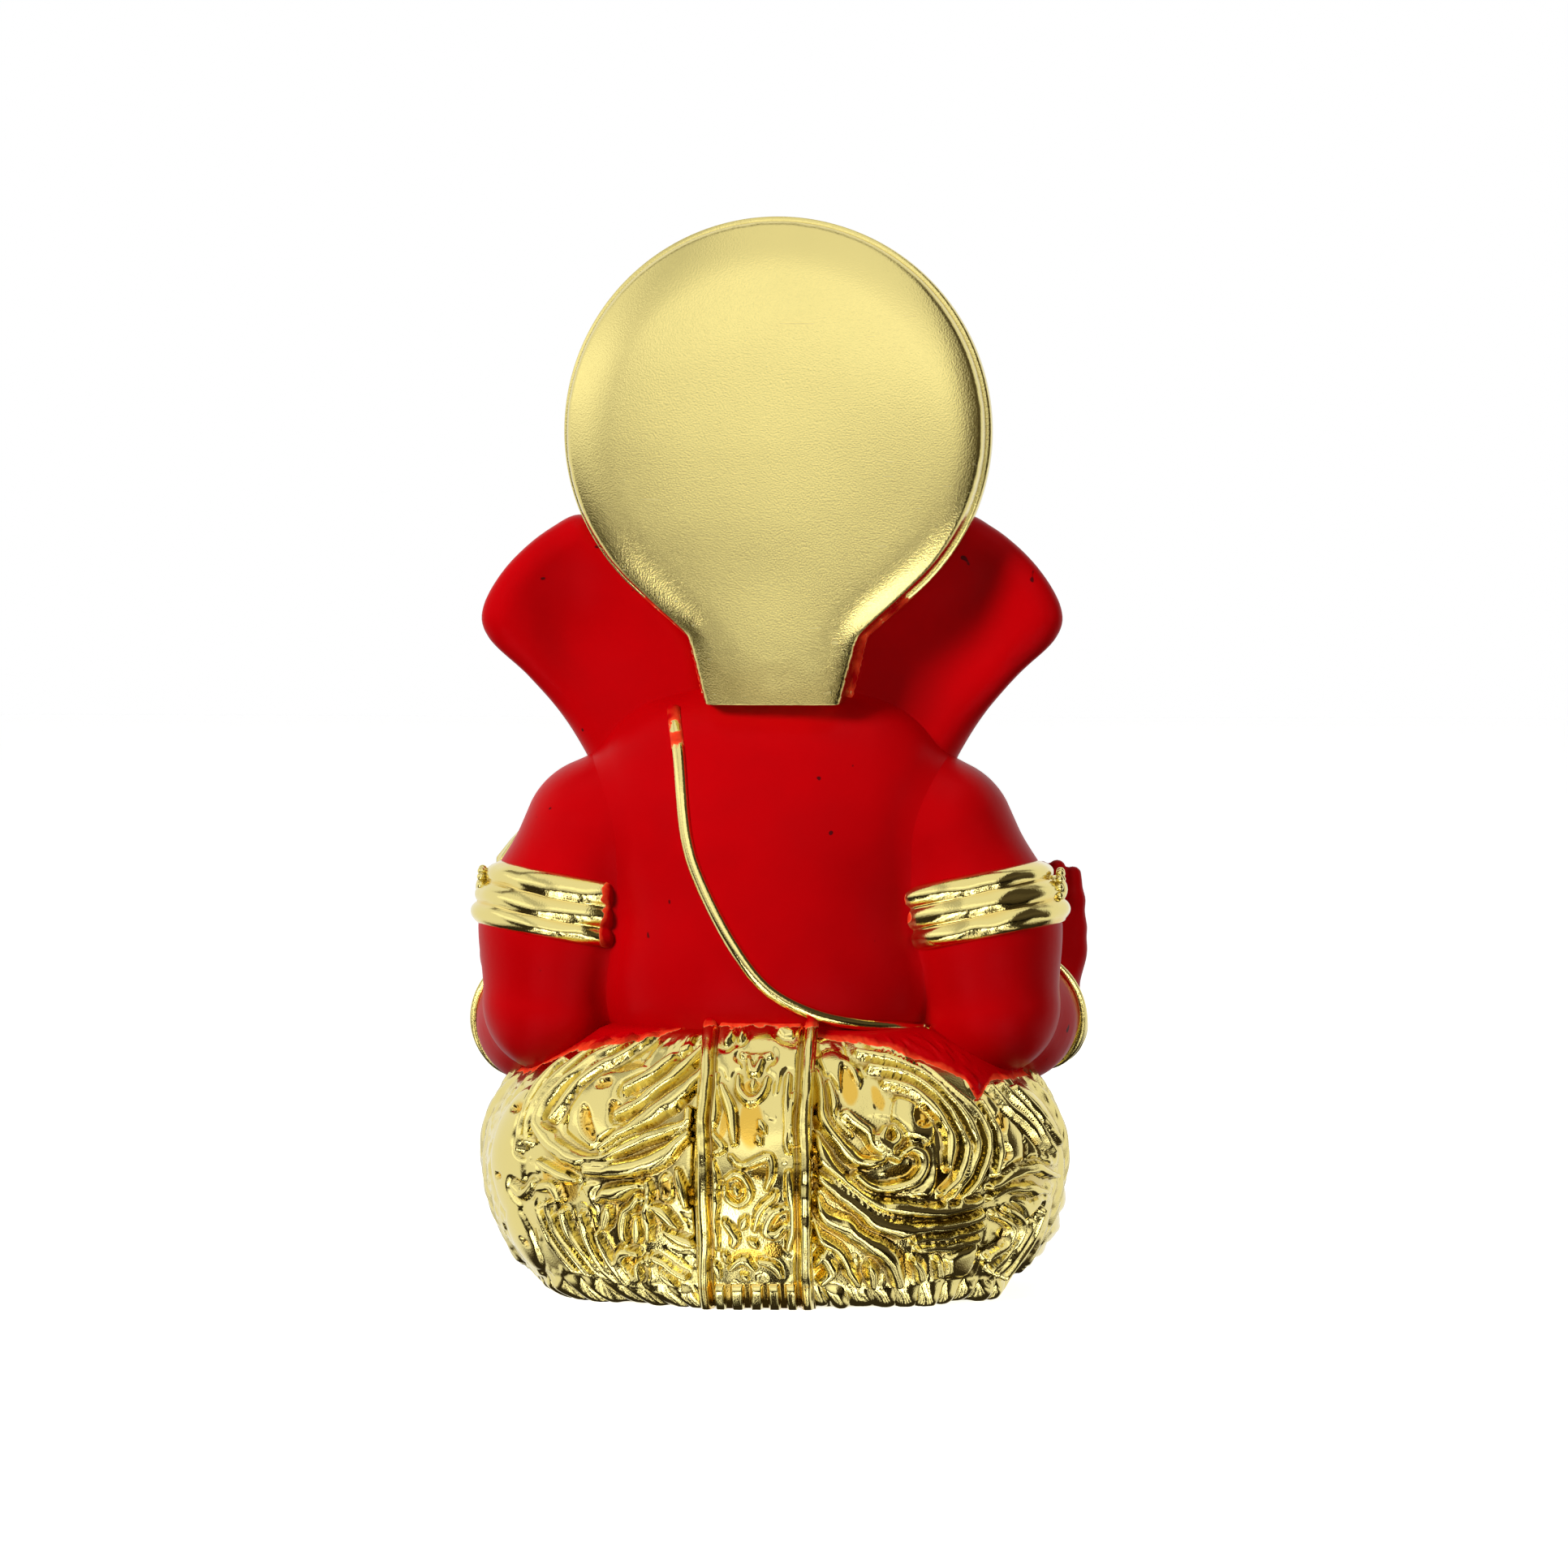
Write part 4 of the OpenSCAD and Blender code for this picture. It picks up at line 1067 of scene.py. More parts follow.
class IDOL_OT_arms(bpy.types.Operator):
    """Makes the upper arms, the forearms and the raised hands"""
    bl_idname = "idol.arms"
    bl_label = "Arms"

    def execute(self, context):
        for side, name in SIDES.items():
            field = arm_field(side)
            ends = sorted((side * ARM[0][0], side * ARM[1][0]))
            low = np.array([ends[0] - (3 if side == RIGHT else 4), *ARM[0][1:]]) - 1
            high = np.array([ends[1] + 4, *ARM[1][1:]]) + 1
            points, _ = arm_points(side)
            elbow = points[-1]
            bend = bone(elbow + (side * -2, -6.2, 1.5), elbow + (side * 4, -6.2, 2.5), 0.8, 0.8)
            form = shared_skin(carve(field, bend, 1.6), [torso_field()])
            sculpt(name + "_upper_arm_casting", form, low, high, RED, name + "_upper_arm")
            low, high = box(name + "_forearm")
            low, high = low - (2, 1.5, 1.5), high + (2, 2.5, 1.5)
            sculpt(name + "_forearm_casting", hand_field(side), low, high, RED, name + "_forearm", FINE_STEP)
        return {"FINISHED"}


def ear_outline():
    """The left ear's outline from behind: up the halo's edge, round the wing, back along the neck."""
    low, high = EAR
    reach, top, bottom = high[0], high[2] + 0.2, low[2] - 0.4
    tall = top - bottom
    shape = [(0.17, 0.0), (0.17, 0.2), (0.19, 0.40), (0.27, 0.58), (0.46, 0.82), (0.655, 1.005),
             (0.79, 0.955), (0.94, 0.80), (1.03, 0.62), (1.01, 0.49), (0.875, 0.335), (0.755, 0.17),
             (0.665, 0.0), (0.59, -0.18), (0.4, -0.18), (0.24, -0.1)]
    corners = np.array([(reach * a, bottom + tall * b) for a, b in shape])
    loop = np.vstack([corners, corners[:3]])
    return spline(loop, 8 * len(corners) + 8)[8:]


def inside_loop(uv, loop):
    """Whether points of a plane lie inside a closed run of points."""
    held = np.zeros(uv.shape[:-1], bool)
    for a, b in zip(loop[:-1], loop[1:]):
        spans = (a[1] > uv[..., 1]) != (b[1] > uv[..., 1])
        cross = a[0] + (uv[..., 1] - a[1]) * (b[0] - a[0]) / (b[1] - a[1] + 1e-12)
        held ^= spans & (uv[..., 0] < cross)
    return held


def ear_field(side):
    """A wide ear like a wing, thick at the skull and round at its edge, with a soft hollow on both faces."""
    low, high = EAR
    reach = high[0]
    loop = ear_outline()
    mid_y = (low[1] + high[1]) / 2
    mid = (low[2] + high[2]) / 2
    plate = PLATE[0][1] + 0.3
    # distance to the outline is worked out once, on a flat grid, and read off it afterwards
    step, rim_w = 0.2, 2.6
    xs = np.arange(0, reach + 4, step)
    zs = np.arange(low[2] - 4, high[2] + 4, step)
    uv = np.stack(np.meshgrid(xs, zs, indexing="ij"), -1)
    flat, _ = path_distance(uv, loop)
    flat = np.where(inside_loop(uv, loop), -flat, flat)
    read = grid_reader(flat, xs, zs, step)

    def field(p):
        x, y, z = p[..., 0] * side, p[..., 1], p[..., 2]
        out = read(x, z)
        share = x / reach
        half = np.interp(share, [0.3, 0.6, 0.85, 1.0], [3.1, 2.7, 2.3, 1.9])
        bow = 0.36 * np.exp(-((share - 0.62) / 0.2) ** 2)
        centre = mid_y + 0.1 - bow + 0.7 * smoothstep(0.7, 1.0, share)
        off = x - reach * 0.68
        dish = np.exp(-(off / 4.6) ** 2 - ((z - mid - 0.4 - 0.25 * off) / 5.6) ** 2)
        away = y - centre
        thick = half - np.where(away > 0, 1.15, 1.1) * dish
        # rounded all the way round: an ellipse of the thickness and of the rim's width inwards of the outline
        rim = np.clip(1 + out / rim_w, 0, None)
        level = np.sqrt(rim ** 2 + (away / thick) ** 2) - 1
        shape = np.where(out < -rim_w, np.abs(away) - thick, level * np.minimum(thick, 2.2))
        block = np.maximum(plate - y, halo_edge(p[..., 0] + LEAN, z) + 0.1)
        return -melt(-shape, block, 0.4)
    return field


def halo_edge(x, z):
    """Distance outside the halo's outline, roughly: a disc that tapers to a stem."""
    disc = np.hypot(x, z - DISC_Z) - HALO_R
    taper_z = DISC_Z - HALO_R * 0.42
    neck = np.interp(z, [NAPE, STEM_Z, taper_z], [5.5, 6.6, HALO_R * 0.9])
    return np.minimum(disc, np.where(z < taper_z, np.abs(x) - neck, 1e3))


class IDOL_OT_ears(bpy.types.Operator):
    """Makes the two ears"""
    bl_idname = "idol.ears"
    bl_label = "Ears"

    def execute(self, context):
        for side, name in SIDES.items():
            low, high = box(name + "_ear")
            # room for the ear's root, towards the head and down
            low, high = low - (4 * (side == LEFT), 0, 4), high + (4 * (side == RIGHT), 0, 0)
            sculpt(name + "_ear_casting", ear_field(side), low - 1.2, high + 1.2, RED, name + "_ear")
        return {"FINISHED"}


FACE_Y = HEAD[0][1]
HEAD_Z = (HEAD[0][2] + HEAD[1][2]) / 2
HEAD_R = np.array([(HEAD[1][0] - HEAD[0][0]) / 2, 9.0, (HEAD[1][2] - HEAD[0][2]) / 2])
HEAD_Y = FACE_Y + HEAD_R[1]


def trunk_line(count=150):
    """Middle line and radii of the trunk, from between the eyes to the curled tip."""
    low, high = TRUNK
    bottom = low[2]
    front = low[1]
    points = [(0, FACE_Y + 3.2, HEAD_Z + 0.5), (0, FACE_Y + 1.0, HEAD_Z - 3.5), (0, FACE_Y - 0.6, HEAD_Z - 9),
              (0.3, front + 3.6, bottom + 14), (1.0, front + 2.9, bottom + 8),
              (3.0, front + 2.7, bottom + 3.6), (6.2, front + 2.7, bottom + 2.9),
              (high[0] - 2.6, front + 3.0, bottom + 5.2), (high[0] - 3.4, front + 3.1, bottom + 7.4)]
    line = spline(points, count)
    t = np.linspace(0, 1, count)
    radius = np.interp(t, [0, 0.12, 0.3, 0.5, 0.75, 1], [4.4, 4.6, 4.3, 3.6, 2.7, 1.9])
    return line, radius


class IDOL_OT_head(bpy.types.Operator):
    """Makes the head and the trunk, with its ring wrinkles"""
    bl_idname = "idol.head"
    bl_label = "Head and trunk"

    def execute(self, context):
        rx, ry, rz = HEAD_R
        skull = blob((0, HEAD_Y, HEAD_Z + 0.3), (rx, ry - 0.1, rz - 0.3))
        domes = [blob((x, FACE_Y + 4.6, HEAD_Z + 5.6), (4.8, 4.2, 4.6)) for x in (-4.6, 4.6)]
        cheeks = [blob((x, FACE_Y + 3.9, HEAD_Z - 4.6), (4.2, 3.9, 4.4)) for x in (-5.6, 5.6)]
        chin = blob((0, FACE_Y + 3.6, HEAD_Z - 8.4), (3.6, 3.0, 2.2))
        head = join(2.0, skull, *domes, *cheeks, chin)
        eye_x, eye_y, _ = sum(box("left_eye")) / 2
        for side in SIDES:
            eye = mirrored((eye_x, eye_y, HEAD_Z + 0.9), side)
            head = carve(head, blob(eye + (0, -0.9, 0), (2.3, 1.4, 1.25)), 1.2)
            brow = [eye + (-side * 1.9, 0.2, 1.5), eye + (0, -0.4, 2.0), eye + (side * 2.2, 0.8, 1.3)]
            lid = [eye + (-side * 2.0, 0.5, -0.6), eye + (0, 0.2, -1.15), eye + (side * 2.2, 1.1, -0.5)]
            head = join(0.7, head, limb(brow, [0.4, 0.55, 0.4], 0.5), limb(lid, [0.3, 0.4, 0.3], 0.4))
        back = PLATE[0][1] + 0.4
        sculpt("head_casting", lambda p: np.maximum(head(p), p[..., 1] - back), HEAD[0] - 1, HEAD[1] + 1, RED,
               "head")

        line, radius = trunk_line()
        tangent = np.gradient(line, axis=0)
        tangent /= np.linalg.norm(tangent, axis=1, keepdims=True)
        across = np.cross(tangent, (0, -1, 0.15))
        across /= np.linalg.norm(across, axis=1, keepdims=True)
        over = np.cross(tangent, across)
        arc = np.concatenate([[0], np.cumsum(np.linalg.norm(np.diff(line, axis=0), axis=1))])
        wrinkle = 0.13 * np.abs(np.sin(math.pi * arc / 1.35)) ** 0.6 * smoothstep(3, 8, arc)
        rings = []
        for a in turn(72):
            r = radius * (1 + 0.04 * math.cos(2 * a)) + wrinkle * (0.5 + 0.5 * math.sin(a) ** 2)
            rings.append(line + across * (r * math.cos(a))[:, None] + over * (r * math.sin(a))[:, None])
        rings = np.array(rings)
        # the tip is rounded, then dips into the nostril
        end = rings[:, -1]
        tip = end.mean(0)
        rounding = [tip + tangent[-1] * on + (end - tip) * wide
                    for on, wide in ((0.9, 0.82), (1.1, 0.55), (0.5, 0.42))]
        flat, faces = closed_grid(np.concatenate([rings, np.stack(rounding, 1)], 1))
        put("trunk_casting", flat, faces, RED, "trunk", PAINTED)
        fix_normals("trunk_casting")
        return {"FINISHED"}


def fix_normals(name):
    """Turns a closed piece's faces outwards."""
    mesh = bpy.data.objects[name].data
    work = bmesh.new()
    work.from_mesh(mesh)
    bmesh.ops.remove_doubles(work, verts=work.verts, dist=1e-7)
    bmesh.ops.recalc_face_normals(work, faces=work.faces)
    work.to_mesh(mesh)
    work.free()


# ---------- legs and feet ----------

def leg_points(side):
    """Middle line and radii of a folded leg, from the hip to the ankle."""
    name = SIDES[side]
    low, high = box(name + "_leg")
    ring = box(name + "_anklet")
    ankle = (ring[0] + ring[1]) / 2
    ankle[2] = max(ankle[2], ring[0][2] + 3.9) if side == RIGHT else 3.8
    ankle[1] = ring[0][1] + 4.0
    knee_r = 6.7
    reach = max(abs(low[0]), abs(high[0]))
    knee = np.array([side * (reach - knee_r), low[1] + knee_r + 3.2, low[2] + knee_r + 1.0])
    if side == RIGHT:
        knee[0] += 1.9
        knee[2] = knee_r + 1.0
    hip = np.array([side * 12.5, -4.0, BULGE_Z])
    shin = (knee + ankle) / 2 + np.array([0, -0.3, -0.2])
    return [hip, knee, shin, ankle], [8.0, knee_r, 4.8, 3.5]


class IDOL_OT_legs(bpy.types.Operator):
    """Makes the folded legs in their cloth, and the feet"""
    bl_idname = "idol.legs"
    bl_label = "Legs and feet"

    def execute(self, context):
        for side, name in SIDES.items():
            points, radii = leg_points(side)
            leg = limb(points, radii, 3.0)
            ankle = points[-1]

            def cut_leg(p):
                return np.maximum(np.maximum(leg(p), -p[..., 2] + 0.02), side * (ankle[0] - p[..., 0]))

            def folds(p):
                uv = np.stack([p[:, 0] * side, p[:, 2]], -1)
                sweep = 0.8 * p[:, 0] * side + 0.55 * p[:, 2] + 0.7 * noise(uv, 4.0, 41)
                height = 0.42 * fold(sweep, 1.7) - 0.3 + 0.1 * knobs(uv, 0.6, 42)
                past_ankle = smoothstep(0.0, 1.4, (p[:, 0] - ankle[0]) * side)
                return height * smoothstep(0.1, 1.2, p[:, 2]) * past_ankle
            low, high = box(name + "_leg")
            sculpt(name + "_leg_casting", cut_leg, low - (4, 0.6, 0.2), high + (4, 3, 1), GOLD, name + "_leg",
                   FINE_STEP, folds, BARE)

            low, high = box(name + "_foot")
            toe_x = low[0] if side == LEFT else high[0]
            way = -side
            heel = ankle + np.array([way * 1.5, 0, -0.2])
            ball = np.array([toe_x - way * 3.0, ankle[1] - 0.1, ankle[2] - (0.8 if side == LEFT else 1.4)])
            sole = limb([ankle, heel, ball], [3.0, 3.0, 2.2], 1.6)
            toes = []
            for i in range(5):
                spread = (i - 2) * 0.86
                reach = toe_x - way * (0.75 + 0.22 * i)
                root = ball + np.array([0, -0.4, spread * 0.9])
                toes.append(limb([root, np.array([reach, ball[1] - 0.3, ball[2] + spread])],
                                 [0.75, 0.72 - 0.05 * i], 0.4))
            foot = join(0.7, sole, join(0.25, *toes))
            sculpt(name + "_foot_casting", lambda p: np.maximum(foot(p), -p[..., 2] + 0.03),
                   low - (3, 0.8, 0.5), high + (3, 1.5, 1.2), RED, name + "_foot", step=0.24)
        return {"FINISHED"}


# ---------- bands, beads and cord ----------

def band(name, field, centre, axis, lift, half, node, paint=None, shown=None, around=360, across=34):
    """A plated band wrapped on a limb: lift gives its height above the skin at an angle and a place across
    it, and shown is 0 where it has sunk into the skin."""
    under = 8
    v = np.concatenate([np.linspace(-1, 1, across), np.linspace(1, -1, under)])
    outer = np.arange(across + under) < across
    A, V = np.meshgrid(turn(around), v, indexing="ij")
    axis, way = spokes(axis, A)
    start = np.array(centre) + V[..., None] * half * axis
    reach = reach_skin(field, start, way)
    height = lift(A, V)
    if shown:
        height = (height + 0.5) * shown(start + way * reach[..., None]) - 0.5
    height = np.where(outer, height, -0.8)
    flat = (start + way * (reach + height)[..., None]).reshape(-1, 3)
    nu, nv = A.shape
    i, j = np.indices(A.shape)
    i2, j2 = (i + 1) % nu, (j + 1) % nv
    faces = np.stack([i * nv + j, i2 * nv + j, i2 * nv + j2, i * nv + j2], -1).reshape(-1, 4)
    # painted shade: the gold is deeper between the band's ridges
    depth = np.where(outer, np.clip(0.55 - height, 0, 0.5) * 1.6, 0).reshape(-1)
    put(name, flat, faces, GOLD, node, paint(flat) if paint else BARE, depth)
    fix_normals(name)


def new_tree(name, sockets):
    """A geometry tree with named inputs; returns the tree and its input node."""
    tree = bpy.data.node_groups.new(name, "GeometryNodeTree")
    tree.interface.new_socket("Geometry", in_out="INPUT", socket_type="NodeSocketGeometry")
    tree.interface.new_socket("Geometry", in_out="OUTPUT", socket_type="NodeSocketGeometry")
    for label, kind in sockets:
        tree.interface.new_socket(label, in_out="INPUT", socket_type=kind)
    return tree, add(tree, "NodeGroupInput")


def end_tree(tree, geometry):
    real = add(tree, "GeometryNodeRealizeInstances", {"Geometry": geometry})
    smooth = add(tree, "GeometryNodeSetShadeSmooth", {"Geometry": real.outputs[0]})
    source = next(n for n in tree.nodes if n.bl_idname == "NodeGroupInput")
    done = add(tree, "GeometryNodeSetMaterial", {"Geometry": smooth.outputs[0],
                                                 "Material": source.outputs["Material"]})
    add(tree, "NodeGroupOutput", {"Geometry": done.outputs[0]})


def bead_tree():
    """Beads of one size, set along a line of edges, with their long side across it."""
    tree, source = new_tree("string_of_beads", [("Count", "NodeSocketInt"), ("Size", "NodeSocketFloat"),
                                                ("Stretch", "NodeSocketVector"), ("Seed", "NodeSocketInt"),
                                                ("Material", "NodeSocketMaterial")])
    line = add(tree, "GeometryNodeMeshToCurve", {"Mesh": source.outputs["Geometry"]})
    spots = add(tree, "GeometryNodeCurveToPoints",
                {"Curve": line.outputs[0], "Count": source.outputs["Count"]}, mode="COUNT")
    bead = add(tree, "GeometryNodeMeshUVSphere",
               {"Segments": 14, "Rings": 9, "Radius": source.outputs["Size"]})
    uneven = add(tree, "FunctionNodeRandomValue", {2: 0.94, 3: 1.04, "Seed": source.outputs["Seed"]},
                 data_type="FLOAT")
    scale = add(tree, "ShaderNodeVectorMath", {0: source.outputs["Stretch"], "Scale": uneven.outputs[1]},
                operation="SCALE")
    placed = add(tree, "GeometryNodeInstanceOnPoints",
                 {"Points": spots.outputs["Points"], "Instance": bead.outputs["Mesh"],
                  "Rotation": spots.outputs["Rotation"], "Scale": scale.outputs[0]})
    end_tree(tree, placed.outputs[0])
    return tree


def cord_tree():
    """A round cord along a line of edges, a little thicker here and there."""
    tree, source = new_tree("laid_cord", [("Width", "NodeSocketFloat"), ("Swell", "NodeSocketFloat"),
                                          ("Lump", "NodeSocketFloat"), ("Material", "NodeSocketMaterial")])
    line = add(tree, "GeometryNodeMeshToCurve", {"Mesh": source.outputs["Geometry"]})
    where = add(tree, "GeometryNodeInputPosition")
    lumps = add(tree, "ShaderNodeTexNoise", {"Vector": where.outputs[0], "Scale": source.outputs["Lump"],
                                             "Detail": 1.0})
    swell = source.outputs["Swell"]
    size = ramp(tree, lumps.outputs["Fac"], 0.3, 0.7, maths(tree, "SUBTRACT", 1.0, swell),
                maths(tree, "ADD", 1.0, swell))
    swollen = add(tree, "GeometryNodeSetCurveRadius", {"Curve": line.outputs[0], "Radius": size})
    half = maths(tree, "MULTIPLY", source.outputs["Width"], 0.5)
    profile = add(tree, "GeometryNodeCurvePrimitiveCircle", {"Resolution": 16, "Radius": half})
    tube = add(tree, "GeometryNodeCurveToMesh", {"Curve": swollen.outputs[0], "Fill Caps": True,
                                                 "Profile Curve": profile.outputs[0]})
    end_tree(tree, tube.outputs[0])
    return tree


TREES = {}


def grow(name, points, kind, values, material=GOLD, node=None, closed=False, paint=BARE):
    """Runs a geometry tree along a line of points, in mm, and keeps the result as a plain mesh."""
    if kind not in TREES:
        TREES[kind] = {"beads": bead_tree, "cord": cord_tree}[kind]()
    tree = TREES[kind]
    mesh = bpy.data.meshes.new(name + "_line")
    n = len(points)
    edges = [(i, (i + 1) % n) for i in range(n if closed else n - 1)]
    mesh.from_pydata((np.asarray(points) * MM).tolist(), edges, [])
    source = bpy.data.objects.new(name + "_line", mesh)
    bpy.context.collection.objects.link(source)
    modifier = source.modifiers.new("grow", "NODES")
    modifier.node_group = tree
    values["Material"] = finish(material)
    for item in tree.interface.items_tree:
        if item.item_type == "SOCKET" and item.in_out == "INPUT" and item.name in values:
            modifier[item.identifier] = values[item.name]
    graph = bpy.context.evaluated_depsgraph_get()
    result = bpy.data.meshes.new_from_object(source.evaluated_get(graph), depsgraph=graph)
    bpy.data.objects.remove(source)
    if not result.vertices:
        raise RuntimeError(name + " came out empty")
    at = np.empty(len(result.vertices) * 3)
    result.vertices.foreach_get("co", at)
    value = paint(at.reshape(-1, 3) / MM) if callable(paint) else paint
    return finish_piece(name, result, material, node, value)


def beads(name, line, count, size, material=GOLD, node=None, closed=False, stretch=(1, 1, 1)):
    """Beads of a radius in mm, strung along a line of points."""
    values = {"Count": count, "Size": size * MM, "Stretch": stretch}
    return grow(name, line, "beads", values, material, node, closed)


def ring_on(field, centre, axis, count):
    """A closed line of points round a limb, on its skin."""
    _, way = spokes(axis, turn(count))
    return centre + way * reach_skin(field, centre, way)[:, None]


class IDOL_OT_armlets(bpy.types.Operator):
    """Makes the ridged armlets, with a jewel on each one's outer side"""
    bl_idname = "idol.armlets"
    bl_label = "Armlets"

    def execute(self, context):
        sizes = context.scene.idol_body
        ridges = sizes.armlet_ridges
        for side, name in SIDES.items():
            field = arm_field(side)
            points, _ = arm_points(side)
            along = points[-1] - points[0]
            low, high = box(name + "_armlet")
            centre = points[0] + along * 0.5
            centre[2] = (low[2] + high[2]) / 2
            axis = along + np.array([-side * 1.9, 0, 0])

            def lift(a, v):
                ring = np.stack([4 * np.cos(a), 4 * np.sin(a), 2.2 * v], -1)
                drift = v + 0.13 * noise(ring, 3.4, 52 + side)
                waves = np.abs(np.sin(math.pi * (drift + 1) * ridges / 2)) ** 0.6
                waves = waves * (0.85 + 0.3 * noise(ring, 2.6, 53))
                edge = np.clip(1 - np.abs(v) ** 10, 0, 1) ** 0.5
                return (0.2 + 0.62 * waves + 0.12 * noise(ring, 0.9, 54)) * edge

            # at the back the band runs into the body, under red paint
            end = 13.0 if side == LEFT else 11.4

            def shown(p):
                return np.where(p[..., 1] > -3, smoothstep(end - 0.9, end + 0.2, p[..., 0] * side), 1.0)

            def paint(p):
                near_body = end + 0.5 - p[:, 0] * side + 0.6 * noise(p, 1.1, 51)
                return paint_depth(np.where(p[:, 1] > 0, near_body, BARE))
            band(name + "_armlet_casting", field, centre, axis, lift, 2.75, name + "_armlet", paint, shown)
            jewel = centre + mirrored((ARM[1][0] + 0.2 - abs(centre[0]), 0.4, 1.7), side)
            base = ring_on(blob(jewel, (1.0, 1.5, 1.5)), jewel, (1, 0, 0), 40)
            beads(name + "_armlet_pearls", base, 13, 0.36, closed=True)
            stone = blob(jewel - mirrored((0.5, 0, 0), side), (1.1, 1.2, 1.2))
            sculpt(name + "_armlet_boss", stone, jewel - 2, jewel + 2, GOLD, step=0.2, paint=BARE)
        return {"FINISHED"}


class IDOL_OT_bangles(bpy.types.Operator):
    """Makes the bangles at the wrists and the rings at the ankles"""
    bl_idname = "idol.bangles"
    bl_label = "Bangles and anklets"

    def execute(self, context):
        for side, name in SIDES.items():
            field = hand_field(side)
            low, high = box(name + "_bangle")
            centre = (low + high) / 2 + np.array([side * 0.6, 0, -2.2 if side == LEFT else 0.0])
            axis = (side * 0.25, -0.8, 0.45)

            def bangle(a, v):
                wires = np.abs(np.cos(math.pi * (v + 1) * 1.5)) ** 0.5
                return (0.25 + 0.5 * wires) * smoothstep(1.0, 0.88, np.abs(v))
            band(name + "_bangle_casting", field, centre, axis, bangle, 1.25, name + "_bangle",
                 around=220, across=26)

            ankle = leg_points(side)[0][-1] + np.array([-side * 1.2, 0, 0])
            field = bone(ankle - (3, 0, 0), ankle + (3, 0, 0), 3.25, 3.25)

            def rope(a, v):
                round_edge = (1 - v * v) ** 0.5
                return (0.2 + 0.3 * round_edge + 0.1 * np.cos(20 * a)) * smoothstep(1.0, 0.85, np.abs(v))
            band(name + "_anklet_casting", field, ankle, (1, 0, 0), rope, 1.15, name + "_anklet",
                 around=200, across=22)
            clip_floor(name + "_anklet_casting")
        return {"FINISHED"}


def clip_floor(name, z=0.02):
    """Presses what would be under the table flat onto it."""
    mesh = bpy.data.objects[name].data
    for vertex in mesh.vertices:
        vertex.co.z = max(vertex.co.z, z * MM)


class IDOL_OT_cords(bpy.types.Operator):
    """Makes the sacred thread and the necklace"""
    bl_idname = "idol.cords"
    bl_label = "Sacred thread and necklace"

    def execute(self, context):
        width = context.scene.idol_body.thread
        torso = join(1.5, torso_field(), arm_field(LEFT), arm_field(RIGHT))
        rx = HALF_TORSO[0]
        route = spline([(0.5, 0.985), (0.45, 0.84), (0.40, 0.60), (0.31, 0.45), (0.14, 0.27), (-0.04, 0.14),
                        (-0.27, 0.065), (-0.5, 0.03), (-0.72, 0.015), (-0.9, 0.0)], 160)
        xz = np.stack([route[:, 0] * rx, WAIST + route[:, 1] * TORSO_H], -1)

        def flake(p):
            top = p[:, 2] - (WAIST + TORSO_H * 0.86)
            return paint_depth(np.where(top > 0, 0.12 + 0.5 * noise(p, 0.9, 61), -0.5))
        for name, way in (("back", 1.0), ("front", -1.0)):
            start = np.stack([xz[:, 0], 0 * xz[:, 0] + way * 16, xz[:, 1]], -1)
            for _ in range(20):
                d = torso(start)
                start[:, 1] -= way * np.clip(d, -3, 3) * 0.7
            line = start[np.abs(torso(start)) < 0.3]
            line = line + gradient(torso, line) * 0.02
            values = {"Width": width * MM, "Swell": 0.22, "Lump": per_mm(3.0)}
            if name == "back":
                grow("sacred_thread_back", line, "cord", values, node="sacred_thread", paint=flake)
            else:
                grow("sacred_thread_front", line, "cord", values)
        low, high = box("necklace")
        half = (high[0] - low[0]) / 2
        t = np.linspace(-1, 1, 60)
        hang = low[2] + 2.0 + (high[2] - low[2] - 1.6) * abs(t) ** 1.6
        line = np.stack([t * half * 0.8, np.full(60, -16.0), hang], -1)
        for _ in range(20):
            line[:, 1] += np.clip(torso(line), -3, 3) * 0.7
        outward = gradient(torso, line)
        beads("necklace_beads", line + outward * 0.35, 30, 0.62, node="necklace")
        beads("necklace_pearls", line + outward * 0.3 - (0, 0, 1.25), 46, 0.36)
        drops = line[6:-6] + outward[6:-6] * 0.3 - (0, 0, 2.1)
        beads("necklace_drops", drops, 13, 0.5, stretch=(1.5, 1, 1))
        return {"FINISHED"}


# ---------- small things held and painted ----------

class IDOL_OT_sweet(bpy.types.Operator):
    """Makes the pleated sweet in the left hand"""
    bl_idname = "idol.sweet"
    bl_label = "Sweet"

    def execute(self, context):
        low, high = box("sweet")
        middle = (low + high) / 2
        r = (high[0] - low[0]) / 2
        t = np.linspace(0, 1, 60)
        z = low[2] + (high[2] - low[2]) * t
        heights, widths = [0, 0.06, 0.25, 0.5, 0.75, 0.92, 1], [0.25, 0.6, 0.95, 0.93, 0.5, 0.16, 0.04]
        profile = np.interp(t, heights, widths) * r
        A, T = np.meshgrid(turn(140), t, indexing="ij")
        pleat = 1 - 0.1 * np.abs(np.sin(5.5 * A)) ** 0.7 * np.sin(math.pi * np.clip(T, 0, 1)) ** 0.5
        points = np.stack([middle[0] + np.cos(A) * profile * pleat, middle[1] + np.sin(A) * profile * pleat,
                           z + 0 * A], -1)
        flat, faces = closed_grid(points)
        put("sweet_casting", flat, faces, GOLD, "sweet")
        return {"FINISHED"}


